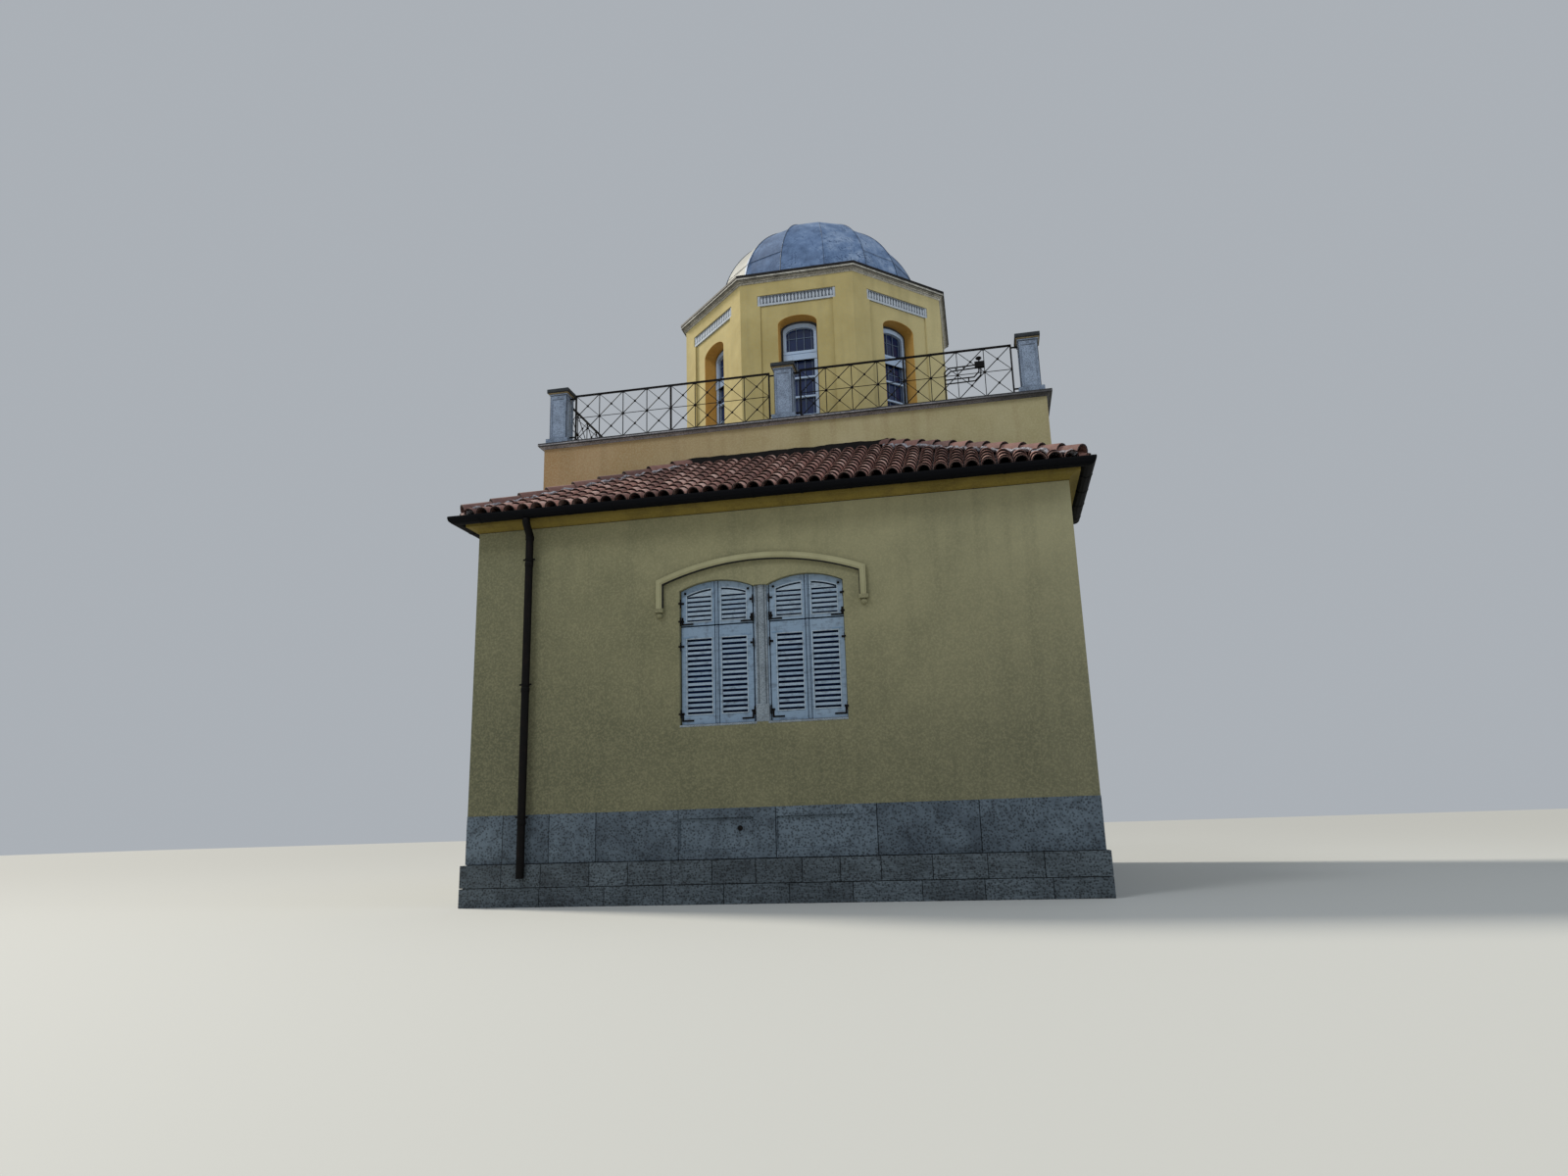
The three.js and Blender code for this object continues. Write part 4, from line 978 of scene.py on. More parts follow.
# The face skin is painted paler than the wall as painted light, and the strip under its lower edge is painted
# shade.
label_face, label_shade_line = Shape(), Shape()
label_strip(label_face, 0.004, LABEL_BAND - 0.004, (-LABEL_OUT - 0.004, -LABEL_OUT + 0.001), 0.5)
label_strip(label_face, 0.022, LABEL_BAND - 0.022, (-LABEL_OUT - 0.010, -LABEL_OUT - 0.003), 0.5)
label_strip(label_shade_line, LABEL_BAND - 0.003, LABEL_BAND + 0.010, (-LABEL_OUT + 0.002, 0.002), 0.3)
label_face_data = mesh_of("label_mould_face", label_face, label_light_render)
label_shade_line_data = mesh_of("label_mould_shade_line", label_shade_line, black_crust_and_shade)
for side, turn in SIDES.items():
    piece(f"{side}_label_face", label_face_data, turn=turn, offset=(0, -FACES[side], 0))
    piece(f"{side}_label_shade_line", label_shade_line_data, turn=turn, offset=(0, -FACES[side], 0))
print("label mould faces", len(label_face_data.polygons))

# %% [markdown]
# ## Clay tiles
# The wing's roof is laid in barrel tiles: a row of troughs with a row of covers over their
# joints, each tile tapered so that the next one up slips under it. Every tile is drawn, as
# bent sheets of clay 18 mm thick, because the scalloped eaves and the ringed rows are what makes
# this roof. Seen from the ground a tile shows little but its low rim, so its points take tones of
# their own: the outer edge pale, with wear and a painted highlight, and the inside black, as painted
# shade in its mouth. The troughs take the darkest tones, as painted shade in the valleys and moss.
# A slope is laid as a full rectangle and then cut along its hips.

# %% One tile and one slope
TILE_PITCH = 0.210
TILE_SHOW = 0.252
TILE_LENGTH = 0.345
TILE_WALL = 0.018
ROOF_EDGE = 5.496
ROOF_TOP = 6.740
EDGE_X = BLOCK_FACE + 0.150
EDGE_Y = -WING_FACE - 0.150
RIDGE_X = 1.680
EAVE_DROP = 0.108
# The pale rim tone is wear with a painted highlight; the mouth's tone is painted shade.
RIM_WEAR_AND_HIGHLIGHT, HIP_RIM_TONE, MOUTH_SHADE = 0.85, 0.0, -0.9
FIRST_ROW_LIFT = 0.014
COLUMN_DRIFT, SWAY, LAP, UNEVEN = 0.004, 0.005, 0.029, 0.004
COVER_RADII, TROUGH_RADII = (0.096, 0.080), (0.066, 0.070)
TROUGH_BACK = 0.060


def bent_tile(shape, low_centre, high_centre, across, normal, radii, arc, tone, sides=7, rim_tone=RIM_WEAR_AND_HIGHLIGHT):
    """A tapered half barrel from its low end to its high end, with a thickness."""
    points = []
    for centre, radius in ((low_centre, radii[0]), (high_centre, radii[1])):
        for wall in (0.0, TILE_WALL):
            for s in range(sides + 1):
                a = math.pi * (0.5 + arc * (s / sides - 0.5))
                r = radius - wall
                points.append(centre + across * (r * math.cos(a)) + normal * (r * math.sin(a)))
    n = sides + 1
    faces = []
    for s in range(sides):
        faces.append((s, s + 1, 2 * n + s + 1, 2 * n + s))
        faces.append((n + s + 1, n + s, 3 * n + s, 3 * n + s + 1))
        faces.append((2 * n + s, 2 * n + s + 1, 3 * n + s + 1, 3 * n + s))
    faces.append((0, 2 * n, 3 * n, n))
    faces.append((n - 1, 2 * n - 1, 4 * n - 1, 3 * n - 1))
    shape.add(points, faces, tone)
    rim = [(s + 1, s, n + s, n + s + 1) for s in range(sides)]
    shape.add(points[:2 * n], rim, rim_tone)
    # The inner edge of the low end is painted shade in the tile's mouth.
    shape.tones[-n:] = [MOUTH_SHADE] * n


def lay_slope(shape, corner, along, up_slope, width, length, chance):
    """Rows of troughs and covers over a rectangle of roof that starts at its low corner."""
    normal = along.cross(up_slope).normalized()
    columns = round(width / TILE_PITCH)
    pitch = width / columns
    count = math.ceil(length / TILE_SHOW)
    for k in range(columns):
        drift = COLUMN_DRIFT * chance.uniform(-1, 1)
        for j in range(count):
            low = corner + along * ((k + 0.5) * pitch + drift) + up_slope * (j * TILE_SHOW - EAVE_DROP)
            high = low + up_slope * TILE_LENGTH
            sway = along * (SWAY * chance.uniform(-1, 1))
            lap = normal * (LAP + UNEVEN * chance.random() + (FIRST_ROW_LIFT if j == 0 else 0))
            bent_tile(shape, low + lap + sway, high + normal * 0.002, along, normal, COVER_RADII, 0.98,
                      0.4 + 0.4 * chance.random())
            # The troughs take the darkest tones: painted shade in the valleys between covers, and moss.
            trough = along * (pitch * 0.5) + normal * TROUGH_RADII[0]
            start = low + trough + up_slope * (TROUGH_BACK if j == 0 else 0)
            bent_tile(shape, start, high + trough - normal * 0.010, along, -normal, TROUGH_RADII, 0.62,
                      chance.random() * 0.15, 5)


# %% [markdown]
# Cutting the slopes: a plane stands upright along each hip, and everything beyond it is cut
# away, just as a roofer cuts the tiles that run into the hip.

# %% Cut and lay the three slopes
BLOCK_WALL = (Vector((0, -BLOCK_FACE, 0)), Vector((0, 1, 0)))
EAVE_RETURN = 0.350
EAVE_END = (Vector((0, -BLOCK_FACE + EAVE_RETURN, 0)), Vector((0, 1, 0)))
PAST_CORNER = 0.03


def hip_plane(hand, outward=1):
    """A point on a hip, and the level direction over it, which leads from the front slope to the side."""
    run = Vector((hand * (RIDGE_X - EDGE_X), -BLOCK_FACE - EDGE_Y, 0)).normalized()
    return Vector((hand * EDGE_X, EDGE_Y, 0)), Vector((hand * run.y, abs(run.x), 0)) * outward


def corner_clip(hand):
    """Past the corner of the roof the tiles are clipped square to the hip."""
    corner = Vector((hand * (EDGE_X + PAST_CORNER), EDGE_Y - PAST_CORNER, 0))
    return corner, Vector((hand, -1, 0)).normalized()


def tile_piece(name, shape, *cuts):
    made = make(name, shape, clay_tile, smooth_angle=50, cuts=cuts)


roofer = random.Random(23)
rise = ROOF_TOP - ROOF_EDGE
front_run = -BLOCK_FACE - EDGE_Y
side_run = EDGE_X - RIDGE_X
tiles = Shape()
lay_slope(tiles, Vector((-EDGE_X, EDGE_Y, ROOF_EDGE)), Vector((1, 0, 0)),
          Vector((0, front_run, rise)).normalized(), 2 * EDGE_X, math.hypot(front_run, rise), roofer)
tile_piece("front_roof_tiles", tiles, hip_plane(-1), corner_clip(-1), hip_plane(1), corner_clip(1),
           BLOCK_WALL)
for hand, word in ((1, "right"), (-1, "left")):
    along = Vector((0, hand, 0))
    up_slope = Vector((-hand * side_run, 0, rise)).normalized()
    start_y = EDGE_Y if hand > 0 else -BLOCK_FACE
    tiles = Shape()
    lay_slope(tiles, Vector((hand * EDGE_X, start_y, ROOF_EDGE)), along, up_slope, front_run,
              math.hypot(side_run, rise), roofer)
    tile_piece(f"{word}_roof_tiles", tiles, hip_plane(hand, -1), corner_clip(hand), BLOCK_WALL)
    strip = Shape()
    start_y = -BLOCK_FACE if hand > 0 else -BLOCK_FACE + EAVE_RETURN
    lay_slope(strip, Vector((hand * EDGE_X, start_y, ROOF_EDGE)), along, up_slope, EAVE_RETURN,
              TILE_SHOW, roofer)
    side_wall = (Vector((hand * BLOCK_FACE, 0, 0)), Vector((-hand, 0, 0)))
    tile_piece(f"{word}_eave_end_tiles", strip, side_wall, EAVE_END)

# %% [markdown]
# Hip tiles are larger covers bedded in lime over the cut edges, with the mortar squeezed out
# unevenly on both sides. A tarred flashing, thin and ragged along its top, seals the roof where
# it runs up against the block's wall.

# %% Hip tiles
HIP_LAP = 0.060
for hand, word, show in ((1, "right", 0.330), (-1, "left", 0.440)):
    low = Vector((hand * EDGE_X, EDGE_Y, ROOF_EDGE))
    high = Vector((hand * RIDGE_X, -BLOCK_FACE, ROOF_TOP))
    run = (high - low).normalized()
    across = run.cross(Vector((0, 0, 1))).normalized()
    normal = across.cross(run)
    hips = Shape()
    count = math.ceil((high - low).length / show)
    for j in range(count):
        start = low + run * (j * show - 0.02) + normal * 0.074
        end = start + run * (show + HIP_LAP) - normal * 0.024
        bent_tile(hips, start, end, across, normal, (0.116, 0.092), 1.0, 0.3 + 0.25 * roofer.random(),
                  rim_tone=HIP_RIM_TONE)
    tile_piece(f"{word}_hip_tiles", hips, BLOCK_WALL)
    bed = Shape()
    steps = 60
    for side in (-1, 1):
        lumps = []
        for i in range(steps + 1):
            squeeze = 0.080 + 0.045 * roofer.random()
            level = 0.020 + 0.055 * roofer.random()
            lumps.append(low + (high - low) * (i / steps) + across * (side * squeeze) + normal * level)
        bed.tube(lumps, 0.036, 6, 0.5, 0.9)
    make(f"{word}_hip_mortar", bed, roof_mortar, smooth_angle=60, cuts=[BLOCK_WALL])

# %% Flashing
FLASHING_LOW, FLASHING_HIGH = 0.03, 0.185


def roof_at_wall(x):
    return ROOF_EDGE + rise * min(1.0, (EDGE_X - abs(x)) / side_run)


flashing = Shape()
steps = 140
points = []
for i in range(steps + 1):
    x = -BLOCK_FACE + 2 * BLOCK_FACE * i / steps
    ragged = 0.030 * noise.noise(Vector((x * 3.1, 4.0, 0))) + 0.010 * noise.noise(Vector((x * 14, 9.0, 0)))
    z_low, z_high = roof_at_wall(x) + FLASHING_LOW, roof_at_wall(x) + FLASHING_HIGH + ragged
    points += [(x, -BLOCK_FACE - 0.030, z_low), (x, -BLOCK_FACE - 0.009, z_high), (x, -BLOCK_FACE, z_high)]
faces = []
for a in range(0, 3 * steps, 3):
    faces += [(a, a + 3, a + 4, a + 1), (a + 1, a + 4, a + 5, a + 2)]
flashing.add(points, faces)
make("roof_flashing", flashing, tar)

# %% [markdown]
# ## Gutter trim and pipe collars
# The gutter hangs in strap brackets, has a rolled bead on its lip, and a cap on each end. The
# downpipe is in lengths that slip together under a collar and are held off the wall by bands.

# %% Gutter and pipe trim
GUTTER_OUT, GUTTER_IN = 0.340, 0.153
GUTTER_TOP, GUTTER_LOW = 5.456, 5.350
GUTTER_BOWL = 0.082


def gutter_strap(shape, origin, out, along):
    """A thin band under the bowl of the gutter, from near its back to near its lip."""
    middle = (GUTTER_OUT + GUTTER_IN) / 2
    half = (GUTTER_OUT - GUTTER_IN) / 2
    turn_height = GUTTER_LOW + GUTTER_BOWL
    path = []
    for i in range(11):
        a = math.radians(22 + 136 * i / 10)
        level = Vector((0, 0, turn_height - GUTTER_BOWL * math.sin(a)))
        path.append(origin + out * (middle - half * math.cos(a)) + level)
    shift = along * 0.014
    inner = [p + shift for p in path] + [p - shift for p in reversed(path)]
    thick = 0.004
    n = len(path)
    centre = origin + out * middle + Vector((0, 0, turn_height))
    outer = [p + (p - centre).normalized() * thick for p in inner]
    faces = []
    for i in range(n - 1):
        a, b, c, d = i, i + 1, 2 * n - 2 - i, 2 * n - 1 - i
        faces.append((a, b, c, d))
        faces.append((2 * n + d, 2 * n + c, 2 * n + b, 2 * n + a))
        faces.append((b, a, 2 * n + a, 2 * n + b))
        faces.append((d, c, 2 * n + c, 2 * n + d))
    faces.append((0, 2 * n - 1, 4 * n - 1, 2 * n))
    faces.append((n, n - 1, 3 * n - 1, 3 * n))
    shape.add(inner + outer, faces)


FRONT_STRAPS = {"first": -4.05, "pitch": 0.675, "count": 13}
SIDE_STRAPS = {"first": 0.25, "pitch": 0.65, "count": 4}
straps = Shape()
for i in range(FRONT_STRAPS["count"]):
    x = FRONT_STRAPS["first"] + i * FRONT_STRAPS["pitch"]
    gutter_strap(straps, Vector((x, -WING_FACE, 0)), Vector((0, -1, 0)), Vector((1, 0, 0)))
for hand in (-1, 1):
    for i in range(SIDE_STRAPS["count"]):
        y = -WING_FACE + SIDE_STRAPS["first"] + i * SIDE_STRAPS["pitch"]
        gutter_strap(straps, Vector((hand * BLOCK_FACE, y, 0)), Vector((hand, 0, 0)), Vector((0, 1, 0)))
lip_x, lip_y = BLOCK_FACE + GUTTER_OUT - 0.010, -WING_FACE - GUTTER_OUT + 0.010
end_y = -BLOCK_FACE + EAVE_RETURN
corners = [(-lip_x, end_y), (-lip_x, lip_y), (lip_x, lip_y), (lip_x, end_y)]
for (x0, y0), (x1, y1) in zip(corners, corners[1:]):
    straps.tube([(x0, y0, GUTTER_TOP - 0.002), (x1, y1, GUTTER_TOP - 0.002)], 0.009, 8)
gutter_trim = make("gutter_straps_and_bead", straps, gutter_paint)

PIPE_X, PIPE_OUT, PIPE_RADIUS = -3.345, 0.1154, 0.055
COLLAR = ((0.001, -0.04), (0.006, -0.03), (0.006, 0.020), (0.001, 0.030))
BAND_RING = ((0.006, -0.015), (0.006, 0.015))
COLLAR_HEIGHTS, BAND_HEIGHTS = (5.095, 4.700, 2.900, 1.100), (4.770, 2.970, 1.170)
collars = Shape()
pipe_y = -WING_FACE - PIPE_OUT


def around_pipe(height, ring):
    collars.turned((PIPE_X, pipe_y), [(PIPE_RADIUS + out, height + up) for out, up in ring], 20)


for height in COLLAR_HEIGHTS:
    around_pipe(height, COLLAR)
for height in BAND_HEIGHTS:
    around_pipe(height, BAND_RING)
    for half, y in ((0.012, (pipe_y, -WING_FACE + 0.01)), (0.090, (pipe_y - 0.008, pipe_y + 0.004))):
        collars.box((PIPE_X - half, PIPE_X + half), y, (height - 0.012, height + 0.012))
pipe_trim = make("downpipe_collars", collars, pipe_paint, 0.001)

# %% [markdown]
# ## Stone piers
# Each terrace pier is built of a base block, a shaft with a sunk panel on every face, a small
# moulding and a cap slab. Its mouldings are turned square: a profile swept round four sides.
# Soot has blackened the cap, which stays wet longest, and dirt sits on the base block's ledge.
# Black strips in the two grooves and under the cap slab are painted shade.

# %% Pier shape
PIER_LINE = 3.990
PIER_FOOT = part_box("pier_front_left")[0][2]
PIER_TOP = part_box("pier_front_left")[1][2]
PIER_LEDGE = PIER_FOOT + 0.113
SHAFT_HALF, BASE_HALF, CAP_HALF = 0.152, 0.200, 0.197


def square_ring(shape, tone, *profile):
    """A profile of (half width, height) swept round four sides."""
    toward_corner = math.sqrt(2)
    shape.turned((0, 0), [(half * toward_corner, z) for half, z in profile], 4, math.pi / 4, tone)


def swept(*rings):
    """Several square rings, each given as its tone and its profile."""
    shape = Shape()
    for ring in rings:
        square_ring(shape, *ring)
    return shape


def pier_shaft():
    low, high = PIER_FOOT + 0.128, PIER_TOP - 0.128
    core, border = SHAFT_HALF - 0.012, 0.042
    field = SHAFT_HALF - border
    shape = swept((0.6, (BASE_HALF, PIER_FOOT), (BASE_HALF, PIER_LEDGE)),
                  (0.85, (core, PIER_LEDGE - 0.002), (core, high)))
    for quarter in range(4):
        turn = Matrix.Rotation(quarter * math.pi / 2, 3, "Z")
        side = Shape()
        for x, z in (((-SHAFT_HALF, -field), (low, high)), ((field, SHAFT_HALF), (low, high)),
                     ((-field, field), (low, low + border)), ((-field, field), (high - border * 1.6, high))):
            side.box(x, (-SHAFT_HALF, -core), z)
        shape.add([turn @ Vector(p) for p in side.points], side.faces, 0.6)
    square_ring(shape, 0.75, (SHAFT_HALF + 0.002, PIER_TOP - 0.122), (SHAFT_HALF + 0.014, PIER_TOP - 0.119),
                (SHAFT_HALF + 0.014, PIER_TOP - 0.101), (SHAFT_HALF + 0.004, PIER_TOP - 0.097))
    return shape


pier_moulding = swept((0.8, (SHAFT_HALF, PIER_TOP - 0.099), (SHAFT_HALF + 0.018, PIER_TOP - 0.096),
                       (SHAFT_HALF + 0.030, PIER_TOP - 0.088), (SHAFT_HALF + 0.030, PIER_TOP - 0.080)))
pier_cap = swept((0.6, (CAP_HALF, PIER_TOP - 0.070), (CAP_HALF, PIER_TOP - 0.012),
                  (CAP_HALF - 0.025, PIER_TOP - 0.0005)))
ledge_crust = (0.3, (BASE_HALF - 0.002, PIER_LEDGE - 0.003), (BASE_HALF - 0.002, PIER_LEDGE + 0.0005),
               (SHAFT_HALF + 0.004, PIER_FOOT + 0.127))
# The two groove strips and the strip under the cap are painted shade.
low_groove_shade = (0.3, (SHAFT_HALF - 0.002, PIER_TOP - 0.128), (SHAFT_HALF - 0.002, PIER_TOP - 0.121))
high_groove_shade = (0.3, (SHAFT_HALF + 0.002, PIER_TOP - 0.101), (SHAFT_HALF + 0.002, PIER_TOP - 0.095))
under_cap_shade = (0.3, (CAP_HALF - 0.003, PIER_TOP - 0.080), (CAP_HALF - 0.001, PIER_TOP - 0.069))
pier_crust_and_shade = swept(ledge_crust, low_groove_shade, high_groove_shade, under_cap_shade)
pier_parts = {
    "shaft": mesh_of("pier_shaft", pier_shaft(), pier_limestone, 0.003),
    "moulding": mesh_of("pier_moulding", pier_moulding, moulding_stone, 0.001),
    "cap": mesh_of("pier_cap", pier_cap, sooty_limestone, 0.002),
    "crust_and_shade": mesh_of("pier_crust_and_shade", pier_crust_and_shade, black_crust_and_shade),
}
PIERS = {"front_left": (-1, -1), "front_middle": (0, -1), "front_right": (1, -1), "right_middle": (1, 0),
         "back_right": (1, 1), "back_middle": (0, 1), "back_left": (-1, 1), "left_middle": (-1, 0)}
for place, (x, y) in PIERS.items():
    for word, data in pier_parts.items():
        made = piece(f"pier_{word}_{place}", data, offset=(x * PIER_LINE, y * PIER_LINE, 0))
        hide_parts(f"pier_{place}")
print("pier faces", sum(len(data.polygons) for data in pier_parts.values()))

# %% [markdown]
# ## Iron railing
# Between the piers stands a lattice of wrought iron: a flat handrail, a thin middle rod, square
# uprights, and in every field two crossed rods with a ball where they cross. Of the two, the
# rising rod is the stouter and lies in front. One panel is made and hung eight times.

# %% Railing panel
RAIL_TOP, RAIL_FOOT = 8.403, 7.550
BAY, BAYS = 0.432, 8
LUG = 0.115
LUG_HEIGHTS = (7.628, 8.347)
UPRIGHT, END_UPRIGHT, MIDDLE_POST = 0.006, 0.013, 0.014
RISING, FALLING, MID_ROD = 0.0075, 0.0055, 0.0065
KNOB, NODE_KNOB = 0.021, 0.026


def railing_shape():
    lattice = Shape()
    half = BAY * BAYS / 2
    middle = (RAIL_TOP + RAIL_FOOT) / 2
    end = half + END_UPRIGHT
    for deep, z in ((0.016, (RAIL_TOP - 0.008, RAIL_TOP)), (0.011, (RAIL_TOP - 0.030, RAIL_TOP - 0.008)),
                    (0.008, (RAIL_FOOT, RAIL_FOOT + 0.018))):
        lattice.box((-end, end), (-deep, deep), z)
    lattice.tube([(-half, 0, middle), (half, 0, middle)], MID_ROD, 8)
    for i in range(BAYS + 1):
        x = -half + i * BAY
        thick = MIDDLE_POST if i == BAYS / 2 else END_UPRIGHT if i in (0, BAYS) else UPRIGHT
        lattice.box((x - thick, x + thick), (-thick, thick), (RAIL_FOOT, RAIL_TOP - 0.010))
        if 0 < i < BAYS:
            lattice.ball((x, 0, middle), NODE_KNOB)
            lattice.box((x - 0.014, x + 0.014), (-0.010, 0.010), (RAIL_TOP - 0.046, RAIL_TOP - 0.028))
            lattice.box((x - 0.012, x + 0.012), (-0.009, 0.009), (RAIL_FOOT + 0.016, RAIL_FOOT + 0.030))
    for i in range(BAYS):
        x0, x1 = -half + i * BAY, -half + (i + 1) * BAY
        for low, high in ((RAIL_FOOT + 0.009, middle), (middle, RAIL_TOP - 0.015)):
            lattice.tube([(x0, -0.006, low), (x1, -0.006, high)], RISING, 6)
            lattice.tube([(x0, 0.004, high), (x1, 0.004, low)], FALLING, 6)
            lattice.ball(((x0 + x1) / 2, 0, (low + high) / 2), KNOB)
    for hand in (-1, 1):
        ends = between(0, hand, half, half + LUG)
        for z in LUG_HEIGHTS:
            lattice.box(ends, (-0.008, 0.008), (z - 0.012, z + 0.012))
    return lattice


railing_data = mesh_of("iron_lattice", railing_shape(), iron_paint, smooth_angle=60)
for side, turn in SIDES.items():
    for word, x in (("a", -PIER_LINE / 2), ("b", PIER_LINE / 2)):
        made = piece(f"{side}_lattice_{word}", railing_data, turn=turn, offset=(x, -PIER_LINE, 0))
        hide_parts(f"{side}_railing_{word}")
print("railing faces", len(railing_data.polygons))

# %% [markdown]
# ## Drum windows
# Each face of the drum has one tall window with a basket-arched head. A subframe is fixed in the
# masonry; its dark colour is painted shade in the gap round the sash. In front of it stands the
# white sash, with a moulded transom and three glazing bars. A thin iron grille, painted blue-grey,
# guards the glass from inside. The parts are boards of different depths, because their shadow
# lines tell them apart.

# %% Drum window measures
FIELD_DEPTH = 0.035
WINDOW_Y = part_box("drum_windows")[1][0] - 0.025
OPENING = (0.370, 7.900, 10.042, 10.212)
SASH = (0.320, 7.930, 10.014, 10.150)
PANE = (0.263, 7.990, 9.969, 10.062)
TRANSOM = (9.405, 9.587)
TRANSOM_GROOVE = 9.528
SASH_FRONT = -0.0245
GLAZING_BARS = (8.300, 8.673, 9.054)
GRILLE_BARS, GRILLE_TIES = (-0.2145, -0.0715, 0.0715, 0.2145), (9.225, 9.869)


def outline_of(half, foot, spring, crown):
    """The outline, anticlockwise from its left foot; its head is half an ellipse."""
    angles = [math.pi * i / 16 for i in range(17)]
    head = [(half * math.cos(a), spring + (crown - spring) * math.sin(a)) for a in angles]
    return [(-half, foot), (half, foot)] + head


def ring_of_boards(shape, outer, inner, y, tone, first=0):
    """Boards between two outlines of as many points each; the foot, which is the first, may stay open."""
    a, b = outline_of(*outer), outline_of(*inner)
    for i in range(first, len(a)):
        j = (i + 1) % len(a)
        shape.prism([a[i], a[j], b[j], b[i]], y[0], y[1], tone)


# %% [markdown]
# The reveal, from the wall's face in to the sash, was never washed by rain, so its render has
# kept a deeper ochre. It is lined with a thin skin of that colour.

# %% Sash, grille, pane and reveal
def lean(outline, change):
    half, foot, spring, crown = outline
    return half + change, foot - change, spring, crown + change


def drum_sash():
    boards = Shape()
    ring_of_boards(boards, SASH, PANE, (SASH_FRONT, 0.045), 0.6)
    ring_of_boards(boards, lean(PANE, 0.012), PANE, (SASH_FRONT - 0.0002, SASH_FRONT + 0.012), 0.2)
    for low, high in ((TRANSOM[0], TRANSOM_GROOVE - 0.005), (TRANSOM_GROOVE + 0.005, TRANSOM[1])):
        boards.box((-SASH[0], SASH[0]), (SASH_FRONT - 0.012, 0.045), (low, high), 0.7)
    boards.box((-SASH[0], SASH[0]), (SASH_FRONT + 0.004, 0.045), TRANSOM, 0.1)
    for z in GLAZING_BARS:
        boards.box((-PANE[0], PANE[0]), (SASH_FRONT + 0.010, 0.030), (z - 0.018, z + 0.018), 0.75)
    return boards


def drum_grille():
    bars = Shape()
    y = (0.016, 0.026)
    half, foot, spring, crown = PANE
    for x in GRILLE_BARS:
        under_head = spring + (crown - spring) * math.sqrt(1 - (x / half) ** 2)
        bars.box((x - 0.005, x + 0.005), y, (foot, TRANSOM[0]))
        bars.box((x - 0.005, x + 0.005), y, (TRANSOM[1], under_head))
    for z in GRILLE_TIES:
        bars.box((-half, half), (0.026, 0.032), (z - 0.005, z + 0.005))
    return bars


def drum_reveal():
    skin = Shape()
    front = -DRUM_FACE + FIELD_DEPTH + 0.0005 + WINDOW_Y
    ring_of_boards(skin, lean(OPENING, -0.0002), lean(OPENING, -0.004), (front, 0.0), 0.5, 1)
    return skin


subframe, panes = Shape(), Shape()
# The subframe's dark paint is painted shade in the gap round the sash.
ring_of_boards(subframe, lean(OPENING, -0.001), lean(SASH, -0.004), (0.0003, 0.060), 0.5)
panes.prism(outline_of(*PANE), 0.038, 0.044)
WINDOW_PARTS = {
    "sash": mesh_of("drum_window_sash", drum_sash(), frame_paint, 0.0015),
    "subframe": mesh_of("drum_window_subframe", subframe, subframe_shade_paint),
    "grille": mesh_of("drum_window_grille", drum_grille(), grille_paint),
    "glass": mesh_of("drum_window_glass", panes, window_glass),
}
reveal_data = mesh_of("drum_window_reveal", drum_reveal(), warm_render)
for i in range(8):
    for word, data in WINDOW_PARTS.items():
        made = piece(f"drum_window_{word}_{i + 1}", data, turn=i * math.pi / 4, offset=(0, -WINDOW_Y, 0))
        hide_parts("drum_windows")
    piece(f"drum_window_reveal_{i + 1}", reveal_data, turn=i * math.pi / 4, offset=(0, -WINDOW_Y, 0))
print("drum window plane", round(WINDOW_Y, 4), "faces", sum(len(d.polygons) for d in WINDOW_PARTS.values()))

# %% [markdown]
# ## Relief frieze
# Over each window the sunk field ends in a band of white stucco: a row of small upright arches
# with a leaf in each, over a plain border. It is a common ornament of its time. The ground
# behind it is dark blue-grey, partly as painted shade between the motifs, so the white motifs
# stand out sharply from below. A darker strip along the band's top is a painted shadow line.

# %% Frieze band
BAND_HALF = 0.738
BAND = (10.466, 10.676)
BORDER_HIGH, END_BORDER = 0.038, 0.045
MOTIFS = 21
LEAF_RIGHT = ((0.010, 0.0), (0.019, 0.055), (0.017, 0.095))
stucco = cut_stone("white_stucco", "#8f98a3", "#bec6cf", "#6c737c", 150.0, 0.002, 0.3)
# The ground's darkness is partly painted shade between the motifs.
stucco_ground = cut_stone("blue_grey_stucco", "#1c2430", "#323d4d", "#12171e", 150.0, 0.002, 0.4)


